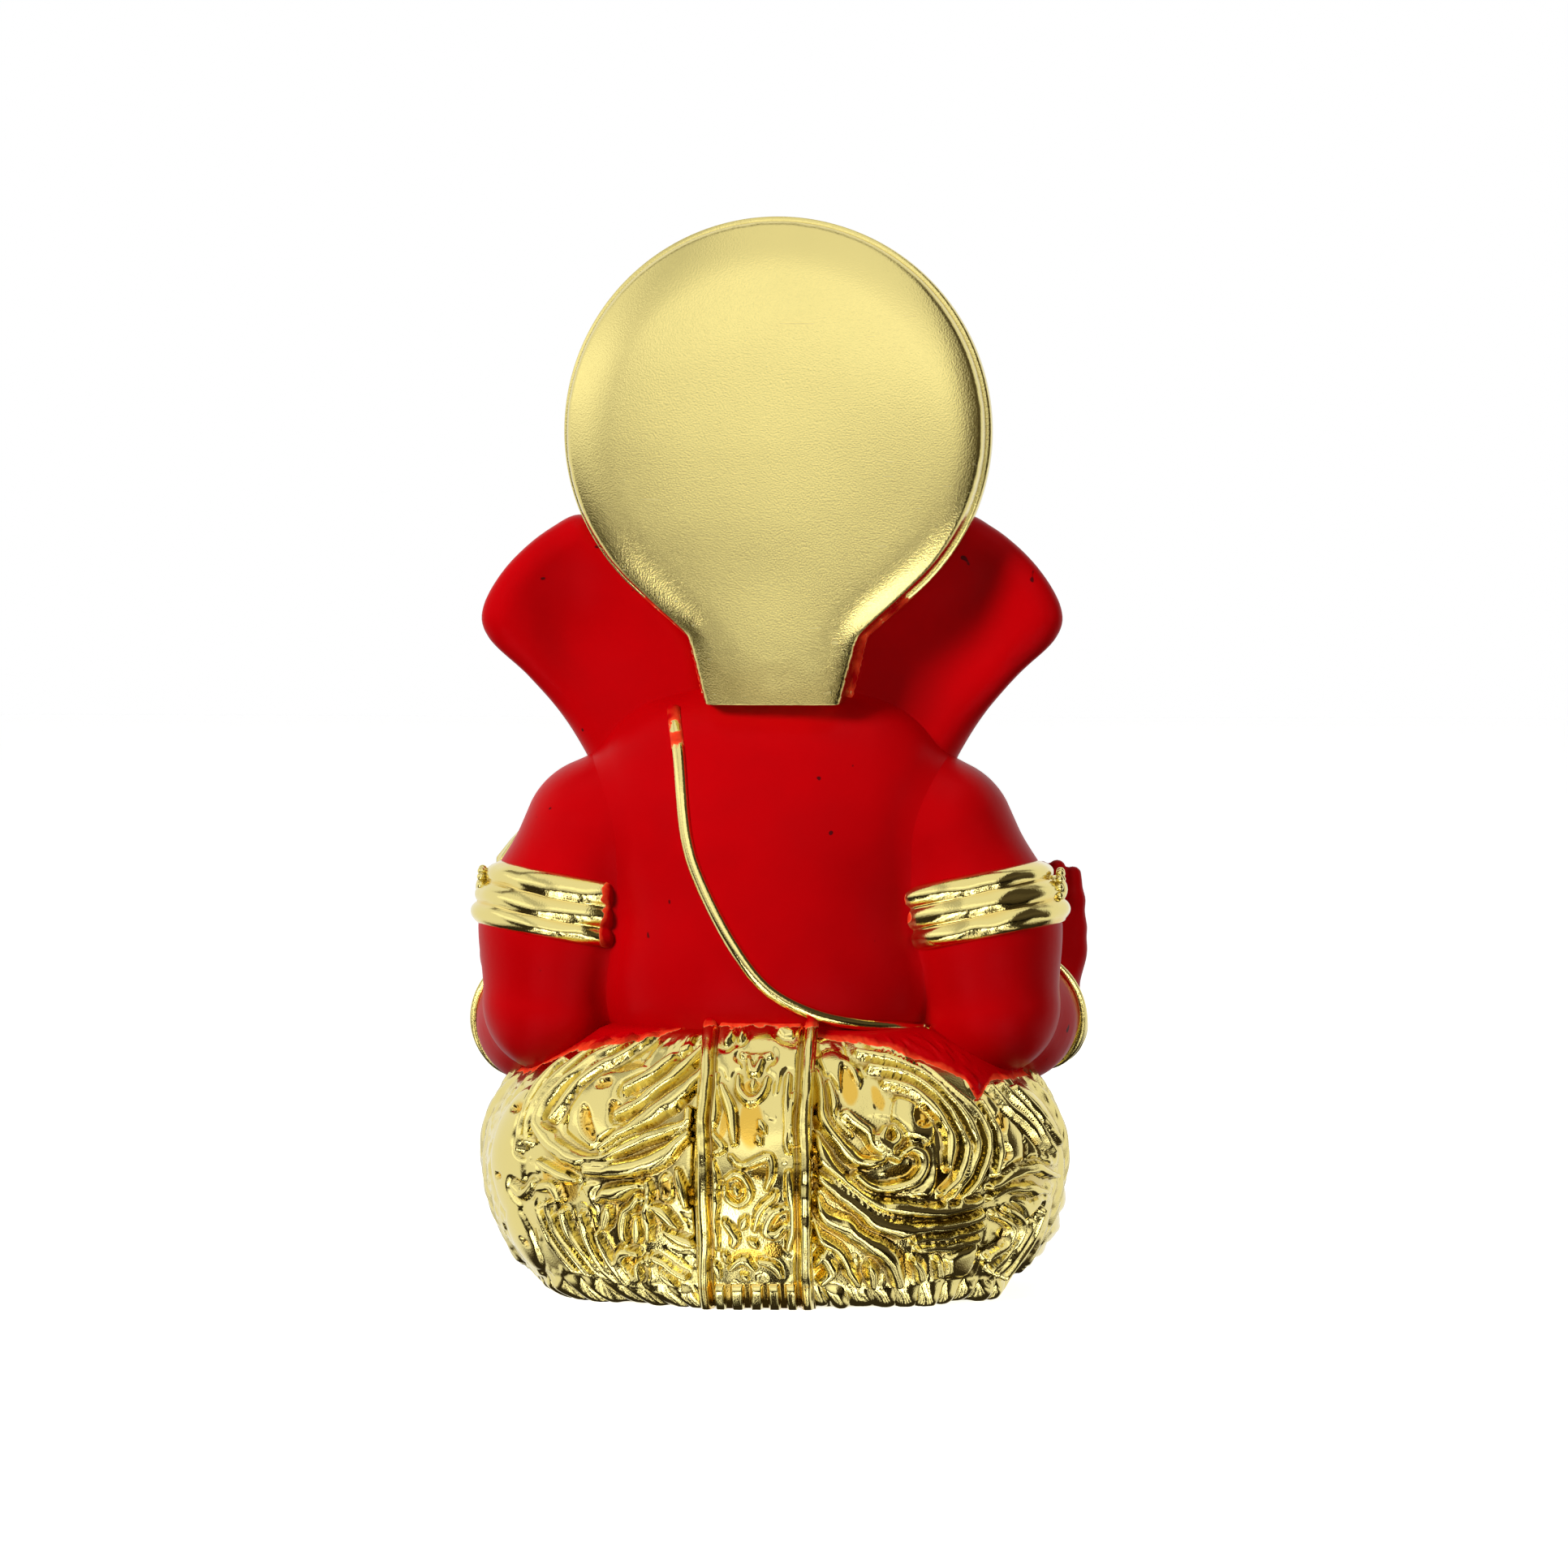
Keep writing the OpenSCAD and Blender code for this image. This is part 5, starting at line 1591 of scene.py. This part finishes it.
class IDOL_OT_face(bpy.types.Operator):
    """Makes the tusks, the eyes and the forehead mark"""
    bl_idname = "idol.face"
    bl_label = "Tusks, eyes and mark"

    def execute(self, context):
        for side, name in SIDES.items():
            low, high = box(name + "_tusk")
            root = mirrored(((abs(low[0]) + abs(high[0])) / 2 - 0.5, high[1] + 0.6, high[2] - 1.2), side)
            root[0] = side * (min(abs(low[0]), abs(high[0])) + 1.1)
            tip = np.array([low[0] if side < 0 else high[0], low[1], low[2] + 0.5])
            if side == LEFT:
                bend = (root + tip) / 2 + np.array([0.1, 0, -0.35])
                tip = tip + (-0.35, 0.4, 0.15)
                field = limb([root, bend, tip], [1.25, 0.95, 0.35], 0.6)
            else:
                tip = tip + (0.9, 0.9, 0.2)
                snapped = lambda p: (tip[1] + 0.1 - p[..., 1]) + 0.22 * noise(p, 0.5, 71)
                shaft = limb([root, tip], [1.25, 1.0], 0.4)
                field = lambda p: np.maximum(shaft(p), snapped(p))
            sculpt(name + "_tusk_casting", field, np.minimum(root, tip) - 2, np.maximum(root, tip) + 2,
                   "ivory_enamel", name + "_tusk", step=0.16)
            low, high = box(name + "_eye")
            middle, r = (low + high) / 2, (high - low) / 2
            ball = blob(middle + (0, 0.35, 0), (r[0] * 1.05, r[1] * 1.3, r[2] * 1.0))
            sculpt(name + "_eye_casting", ball, low - 1, high + 1, "eye_enamel", name + "_eye", step=0.14)
            iris = blob(middle + (0, -r[1] * 0.62, 0.02), (0.62, 0.34, 0.62))
            sculpt(name + "_iris", iris, middle - 2, middle + 2, "paste_stone", step=0.1)
        low, high = box("forehead_mark")
        middle, r = (low + high) / 2, (high - low) / 2
        bars = []
        for k in (-1, 0, 1):
            z, half = middle[2] + k * 0.95, 1.6 - 0.2 * abs(k)
            bar = [(-half, low[1] + 0.9, z + 0.25), (0, low[1] + 0.55, z), (half, low[1] + 0.9, z + 0.25)]
            bars.append(limb(bar, [0.26, 0.32, 0.26], 0.4))
        bars.append(blob((0, low[1] + 0.5, middle[2]), (0.62, 0.5, 1.25)))
        sculpt("forehead_mark_casting", join(0.2, *bars), low - 1, high + 1, GOLD, "forehead_mark", 0.12,
               paint=BARE)
        return {"FINISHED"}


# ---------- crown and halo ----------

# depth of the crown as a part of its width
CROWN_FLAT = 0.783
CROWN_Y = CROWN[0][1] + (CROWN[1][0] - CROWN[0][0]) / 2 * CROWN_FLAT


def crown_radius(t):
    """Half width of the crown at a height from 0 to 1, as a part of its headband's."""
    at = [0, 0.015, 0.05, 0.17, 0.2, 0.225, 0.25, 0.33, 0.42, 0.44, 0.46,
          0.54, 0.62, 0.64, 0.66, 0.74, 0.81, 0.83, 0.86, 0.92, 0.97, 1]
    wide = [0.9, 0.98, 1.0, 0.96, 1.0, 0.98, 0.84, 0.86, 0.8, 0.84, 0.64,
            0.66, 0.58, 0.62, 0.44, 0.43, 0.3, 0.33, 0.15, 0.17, 0.09, 0.03]
    return np.interp(t, at, wide)


class IDOL_OT_crown(bpy.types.Operator):
    """Makes the tiered crown, its petals, its beads and its studs"""
    bl_idname = "idol.crown"
    bl_label = "Crown"

    def execute(self, context):
        low, high = CROWN
        half = (high[0] - low[0]) / 2 / 1.04
        depth = half * CROWN_FLAT
        t = np.unique(np.concatenate([np.linspace(0, 1, 170), np.linspace(0.19, 0.27, 20)]))
        A, T = np.meshgrid(turn(420), t, indexing="ij")
        share = crown_radius(T)
        waves = 0.0
        for a, b, count, tall in [(0.25, 0.42, 22, 0.5), (0.46, 0.62, 18, 0.45), (0.66, 0.82, 14, 0.35)]:
            f = np.clip((T - a) / (b - a), 0, 1)
            on = (T > a) & (T < b)
            leaf = np.abs(np.cos(count / 2 * A)) - 0.75 * f ** 1.5
            waves = waves + np.where(on, tall * np.clip(leaf, 0, 1) ** 0.5 * np.sin(math.pi * f) ** 0.4, 0)
        head_band = (T > 0.05) & (T < 0.17)
        waves = waves + np.where(head_band, 0.18 * np.abs(np.sin(24 * A + 40 * T)) ** 0.6, 0)
        x = np.cos(A) * (half * share + waves - 0.2)
        y = CROWN_Y + np.sin(A) * (depth * share + waves - 0.2)
        z = low[2] + (high[2] - low[2]) * T
        y = np.minimum(y, PLATE[0][1] + 1.2)
        points = np.stack([x, y, z], -1)
        # painted shade: the gold is deeper between the petals
        recess_shade = np.clip(0.35 - waves, 0, 1) * (T > 0.25) * (T < 0.82)
        flat, faces = closed_grid(points)
        put("crown_casting", flat, faces, GOLD, "crown", depth=np.append(recess_shade.reshape(-1), FAN_ENDS))
        for label, height, size, count in [("band", 0.225, 0.42, 70), ("middle", 0.44, 0.36, 60),
                                           ("upper", 0.64, 0.32, 46), ("foot", 0.02, 0.4, 72)]:
            r = float(crown_radius(np.array(height)))
            z = low[2] + (high[2] - low[2]) * height
            ring = [(math.cos(a) * half * r, CROWN_Y + math.sin(a) * depth * r, z)
                    for a in np.linspace(math.pi, 2 * math.pi, 64)]
            beads("crown_beads_" + label, ring, count // 2, size)
        studs_low, studs_high = box("crown_studs")
        size = (studs_high[2] - studs_low[2]) / 2
        z = (studs_high[2] + studs_low[2]) / 2
        arc = [math.pi * (1 + (i + 0.5) / 7) for i in range(7)]
        line = [(math.cos(a) * half, CROWN_Y + math.sin(a) * depth, z) for a in arc]
        beads("crown_stones", line, 7, size * 0.86, "paste_stone", "crown_studs")
        for i, spot in enumerate(line):
            out = np.array([math.cos(arc[i]), math.sin(arc[i]), 0])
            side, up = np.array([-out[1], out[0], 0]), np.array([0, 0, 1])
            middle = np.array(spot) + out * 0.15
            ring = [middle + (side * math.cos(a) + up * math.sin(a)) * size for a in turn(20)]
            beads("stone_setting_%d" % (i + 1), ring, 16, 0.24, closed=True)
        return {"FINISHED"}


def halo_outline(angle, inset):
    """Reach of the halo's outline from the disc's middle, at an angle from +X to +Z; its corners are soft."""
    radius, stem, foot = HALO_R - inset, 7.45 - inset, 6.1 - inset
    c, s = np.abs(np.cos(angle)), np.sin(angle)
    # the straight sides run from the disc to the stem's shoulders, touching the disc
    drop = DISC_Z - STEM_Z
    touch = math.acos(radius / math.hypot(stem, drop)) - math.atan2(drop, stem)
    along = c * math.cos(touch) + s * math.sin(touch)
    side = np.where(along > 1e-3, radius / np.maximum(along, 1e-3), 1e3)
    reach = np.where((s < 0) & (np.arctan2(s, c) < touch), side, radius)
    # below the shoulders the stem narrows a little to its foot
    slope = (stem - foot) / (STEM_Z - NAPE)
    wall = (stem + slope * drop) / np.maximum(c - slope * s, 1e-3)
    base = (DISC_Z - NAPE) / np.maximum(-s, 1e-3)
    low = (s < 0) & (c / np.maximum(-s, 1e-3) < stem / drop)
    reach = np.where(low, np.minimum(wall, base), reach)
    for _ in range(3):
        reach = (np.roll(reach, 1) + 2 * reach + np.roll(reach, -1)) / 4
    return reach


class IDOL_OT_halo(bpy.types.Operator):
    """Makes the halo: a front plate with rays and beads, and the domed back that shows from behind"""
    bl_idname = "idol.halo"
    bl_label = "Halo"

    def execute(self, context):
        sizes = context.scene.idol_halo
        # more angles at the foot's corners, where the outline turns
        corner = np.linspace(-0.5, 0.5, 121) + 1.5 * math.pi
        angle = np.unique(np.round(np.concatenate([turn(420), corner]), 6))
        outline, inner = halo_outline(angle, 0.0), halo_outline(angle, sizes.rim)
        c, s = np.cos(angle)[:, None], np.sin(angle)[:, None]

        def sheet(reach, t, y):
            return np.stack([c * reach[:, None] * t, y + 0 * c * t, DISC_Z + s * reach[:, None] * t], -1)

        # front plate: rayed face, rounded edge, flat back
        y0, y1 = PLATE[0][1], PLATE[1][1]
        rows = 90
        edge = [0.97, 0.985, 0.995, 1, 1, 1, 0.995, 0.985, 0.9, 0.3]
        t = np.concatenate([np.linspace(0.02, 0.95, rows), edge])
        round_edge = [y0 + 0.3, y0 + 0.08, y0 + 0.02, y0 + 0.15, (y0 + y1) / 2,
                      y1 - 0.18, y1 - 0.05, y1, y1, y1]
        y = np.concatenate([np.full(rows, y0 + 0.35), round_edge])
        T = t[None, :] + 0 * angle[:, None]
        F = T[:, :rows]
        ray = np.abs(np.sin(angle[:, None] * sizes.rays / 2)) ** 0.6
        face = np.zeros_like(T)
        face[:, :rows] = -0.3 * ray * smoothstep(0.5, 0.6, F) * smoothstep(0.86, 0.83, F)
        face[:, :rows] -= 0.3 * np.exp(-((F - 0.47) / 0.012) ** 2) + 0.3 * np.exp(-((F - 0.88) / 0.01) ** 2)
        flat, faces = closed_grid(sheet(outline, t[None, :], y[None, :] + face)[::-1])
        # painted reflection: a little red of the ears painted onto the plate's edge beside them
        ear_reflection = (flat[:, 2] < NAPE + 9) & (np.abs(flat[:, 0]) > 4) & (flat[:, 1] > y0 + 0.5)
        put("halo_plate_casting", flat, faces, SATIN, "halo_front",
            np.where(ear_reflection, 0.2 + 0.4 * noise(flat, 1.2, 84), BARE))
        fix_normals("halo_plate_casting")
        ring = sheet(outline * 0.935, 1.0, y0 + 0.3)[:, 0]
        beads("halo_beads", ring, sizes.rim_beads, 0.5, closed=True)

        # domed back: a bright bevel at the edge, then a pillow
        pillow = swollen_sheet(angle, inner)
        k = np.linspace(0, 1, 120)
        t = np.concatenate([[1.0, 1.0], 0.995 - 0.98 * k ** 1.25])
        points = sheet(inner, t[None, :], 0 * t[None, :])
        rise = pillow(points[..., 0], points[..., 2])
        # thicker towards the neck, so that its broad face looks up a little
        points[..., 1] = y1 + rise + 0.085 * (TOP - points[..., 2]) * smoothstep(0, 1.2, rise)
        points[:, 0, 1] = y1 - 0.4
        points[:, 1, 1] = y1 + 0.1
        # a casting is never quite true: hollows a few tenths deep, many millimetres wide
        wave = noise(points[..., [0, 2]], 13.0, 81) * 0.16 + noise(points[..., [0, 2]], 5.0, 82) * 0.03
        points[..., 1] += wave * np.clip((1 - t[None, :]) * 5, 0, 1)
        flat, faces = closed_grid(points)
        # the plating is browner just above the back
        browner_foot = smoothstep(NAPE + 6.5, NAPE + 0.5, flat[:, 2] + 1.3 * noise(flat, 1.6, 83))
        put("halo_dome_casting", flat, faces, SATIN, "halo_back", depth=-0.55 * browner_foot)
        fix_normals("halo_dome_casting")
        return {"FINISHED"}


def swollen_sheet(angle, reach, step=0.3, rounds=2600):
    """Height of a sheet held at the halo's outline and blown out evenly, as a function of x and z."""
    edge = np.stack([np.cos(angle) * reach, DISC_Z + np.sin(angle) * reach], -1)
    low, high = edge.min(0) - (2 * step, 6), edge.max(0) + 2 * step
    xs, zs = np.arange(low[0], high[0] + step, step), np.arange(low[1], high[1] + step, step)
    X, Z = np.meshgrid(xs, zs, indexing="ij")
    way = np.arctan2(Z - DISC_Z, X) % (2 * math.pi)
    out = np.interp(way, angle, reach, period=2 * math.pi) - np.hypot(X, Z - DISC_Z)
    held = np.clip(out / step + 0.5, 0, 1)
    # the sheet runs on below the foot, into the back
    below = np.clip((5.7 - np.abs(X)) / step + 0.5, 0, 1) * (Z < NAPE + 3)
    held = np.maximum(held, below)
    h = np.zeros(X.shape)
    for _ in range(rounds):
        h[1:-1, 1:-1] = (h[:-2, 1:-1] + h[2:, 1:-1] + h[1:-1, :-2] + h[1:-1, 2:]) / 4 + step * step / 4
        h *= held
    read = grid_reader(h / h.max(), xs, zs, step)

    def rise(x, z):
        level = read(x, z)
        # a quarter round at the edge, then a slow swell
        round_edge = np.sqrt(1 - (1 - np.clip(level / 0.08, 0, 1)) ** 2)
        shoulder = 1 - (1 - np.clip(level / 0.5, 0, 1)) ** 2
        return 1.1 * round_edge + 0.75 * shoulder + 1.2 * np.clip(level, 0, 1)
    return rise


class IDOL_OT_stance(bpy.types.Operator):
    """Sets the finished body a little to its left, as it was cast"""
    bl_idname = "idol.stance"
    bl_label = "Stance"

    def execute(self, context):
        still = ("seat", "felt", "back_sash", "left_leg", "right_leg", "left_foot", "right_foot",
                 "left_anklet", "right_anklet", "crown", "stone_setting", "halo")
        for piece in PIECES:
            if not piece.name.startswith(still):
                for vertex in piece.data.vertices:
                    vertex.co.x += LEAN * MM
        return {"FINISHED"}


# ---------- stage ----------

def soft_box(name, place, aim, size, power):
    """A large rectangular light that points at a place; all in millimetres."""
    data = bpy.data.lights.new(name, "AREA")
    data.shape = "RECTANGLE"
    data.size, data.size_y = size[0] * MM, size[1] * MM
    data.energy = power
    light = bpy.data.objects.new(name, data)
    light.location = Vector(place) * MM
    light.rotation_euler = (Vector(aim) - Vector(place)).to_track_quat("-Z", "Y").to_euler()
    light.visible_glossy = False
    bpy.context.collection.objects.link(light)


CAMERA_AZIMUTH, CAMERA_ELEVATION = math.radians(185.0), math.radians(2.3)
CAMERA_LENS, CAMERA_AWAY = 192, 700
FLOOR_HALF = 1.5


class IDOL_OT_stage(bpy.types.Operator):
    """Sets the pale floor, the studio light and the camera"""
    bl_idname = "idol.stage"
    bl_label = "Stage"

    def execute(self, context):
        scene = context.scene
        scene.view_settings.view_transform = "Standard"
        middle = Vector((-0.17, 0, 42.7))
        away = Vector((math.sin(CAMERA_AZIMUTH), -math.cos(CAMERA_AZIMUTH), 0)) * math.cos(CAMERA_ELEVATION)
        away.z = math.sin(CAMERA_ELEVATION)
        data = bpy.data.cameras.new("camera")
        data.lens = CAMERA_LENS
        data.sensor_width = 36
        data.clip_start = 0.01
        data.dof.use_dof = False
        camera = bpy.data.objects.new("camera", data)
        camera.location = (middle + away * CAMERA_AWAY) * MM
        camera.rotation_euler = (-away).to_track_quat("-Z", "Y").to_euler()
        bpy.context.collection.objects.link(camera)
        scene.camera = camera

        # floor: white card
        floor = bpy.data.meshes.new("floor")
        corners = [(x * FLOOR_HALF, y * FLOOR_HALF, 0) for x, y in ((-1, -1), (1, -1), (1, 1), (-1, 1))]
        floor.from_pydata(corners, [], [(0, 1, 2, 3)])
        card = bpy.data.objects.new("floor", floor)
        bpy.context.collection.objects.link(card)
        material, tree = new_material("white_card", "")
        end_material(tree, {"Base Color": linear("#F4F4F2"), "Roughness": 0.8, "Emission Color": (1, 1, 1, 1),
                            "Emission Strength": 0.8})
        floor.materials.append(material)
        card.visible_glossy = False
        card.visible_diffuse = False

        front = Vector((away.x, away.y, 0)).normalized()
        right = Vector((0, 0, 1)).cross(front).normalized()
        scene.world = room(front, right)

        def at(side_way, ahead_way, up_way):
            return middle + right * side_way + front * ahead_way + Vector((0, 0, 1)) * up_way
        soft_box("key", at(-340, 360, 200), middle, (140, 140), 3.4)
        soft_box("right_bank", at(420, 260, 60), middle, (100, 260), 1.0)
        soft_box("top", at(0, 60, 520), middle, (480, 420), 0.5)
        return {"FINISHED"}


def room(front, right):
    """The world: white behind the idol, a dim fill on the paint, and for the plating to mirror, soft boxes
    with dim gaps between them."""
    world = bpy.data.worlds.new("room")
    world.use_nodes = True
    tree = world.node_tree
    tree.nodes.clear()
    ray = add(tree, "ShaderNodeLightPath")
    way = add(tree, "ShaderNodeTexCoord").outputs["Generated"]

    def along(axis):
        return add(tree, "ShaderNodeVectorMath", {0: way, 1: axis}, operation="DOT_PRODUCT").outputs["Value"]

    def soft(value, low, high):
        return ramp(tree, value, low, high, curve="SMOOTHSTEP")

    def joined(operation):
        return lambda *values: reduce(lambda a, b: maths(tree, operation, a, b), values)
    times, plus, most = joined("MULTIPLY"), joined("ADD"), joined("MAXIMUM")
    f, r, u = along(front), along(right), along((0, 0, 1))
    # a broad ceiling, with a dimmer streak down its left
    above = plus(times(soft(u, -0.2, 0.08), 0.88), times(soft(u, 0.1, 0.26), 0.5),
                 times(soft(u, 0.36, 0.52), -0.4))
    streak = plus(1.0, times(soft(r, -0.34, -0.42), soft(r, -0.62, -0.5), -0.4))
    overhead = times(above, soft(f, -0.45, 0.0), streak)
    # walls at both sides and behind
    beside = times(plus(soft(r, -0.62, -0.76), soft(r, 0.62, 0.76)), soft(f, 0.3, 0.1))
    behind = times(soft(f, -0.3, -0.5), soft(u, -0.6, -0.4))
    sides = times(most(beside, behind), soft(u, -0.7, -0.45), 0.95)
    # low lamps in a row, for the sparkle of the cloth
    strips = 0.0
    for start, end in ((-0.56, -0.5), (-0.42, -0.3), (-0.2, -0.13), (0.08, 0.16), (0.28, 0.4), (0.52, 0.58)):
        strips = plus(strips, times(soft(r, start - 0.02, start + 0.02), soft(r, end + 0.02, end - 0.02)))
    glow = plus(1.6, times(soft(u, -0.85, -0.5), 4.4))
    lows = times(strips, soft(u, -0.24, -0.32), times(soft(f, -0.1, 0.1), glow))
    dark_right = times(soft(r, 0.46, 0.56), soft(f, -0.3, -0.1), soft(u, -0.3, -0.18))
    lit = most(overhead, most(sides, most(lows, 0.035)))
    level = times(lit, plus(1.0, times(dark_right, -0.93)))
    white = (1, 1, 1, 1)
    tint = blend(tree, soft(level, 0.0, 0.5), (1.0, 0.8, 0.55, 1), white)

    def background(colour, strength):
        return add(tree, "ShaderNodeBackground", {"Color": colour, "Strength": strength}).outputs[0]

    def chosen(kind, otherwise, then):
        return add(tree, "ShaderNodeMixShader", {0: ray.outputs[kind], 1: otherwise, 2: then}).outputs[0]
    seen = chosen("Is Glossy Ray", background(white, 0.13), background(tint, level))
    seen = chosen("Is Camera Ray", seen, background(white, 1.0))
    add(tree, "ShaderNodeOutputWorld", {"Surface": seen})
    return world


# ---------- panel, registration and the run ----------

MAKING = [IDOL_OT_stage, IDOL_OT_seat, IDOL_OT_pad, IDOL_OT_sash, IDOL_OT_legs, IDOL_OT_torso,
          IDOL_OT_arms, IDOL_OT_ears, IDOL_OT_head, IDOL_OT_armlets, IDOL_OT_bangles, IDOL_OT_cords,
          IDOL_OT_sweet, IDOL_OT_face, IDOL_OT_crown, IDOL_OT_halo, IDOL_OT_stance]


class IDOL_PT_panel(bpy.types.Panel):
    """Sizes, colours and the steps of the making"""
    bl_label = "Ganesha idol"
    bl_idname = "IDOL_PT_panel"
    bl_space_type = "VIEW_3D"
    bl_region_type = "UI"
    bl_category = "Idol"

    def draw(self, context):
        scene = context.scene
        for group in (scene.idol_seat, scene.idol_body, scene.idol_halo, scene.idol_finishes):
            column = self.layout.column(align=True)
            for key in group.__annotations__:
                column.prop(group, key)
        for maker in MAKING:
            self.layout.operator(maker.bl_idname)


GROUPS = {"idol_seat": SeatSizes, "idol_body": BodySizes, "idol_halo": HaloSizes, "idol_finishes": Finishes}


def register():
    for group in GROUPS.values():
        bpy.utils.register_class(group)
    for name, group in GROUPS.items():
        setattr(bpy.types.Scene, name, PointerProperty(type=group))
    for maker in MAKING + [IDOL_PT_panel]:
        bpy.utils.register_class(maker)


def unregister():
    for maker in reversed(MAKING + [IDOL_PT_panel]):
        bpy.utils.unregister_class(maker)
    for name in GROUPS:
        delattr(bpy.types.Scene, name)
    for group in GROUPS.values():
        bpy.utils.unregister_class(group)


def main():
    register()
    for maker in MAKING:
        family, name = maker.bl_idname.split(".")
        getattr(getattr(bpy.ops, family), name)()


if __name__ == "__main__":
    main()
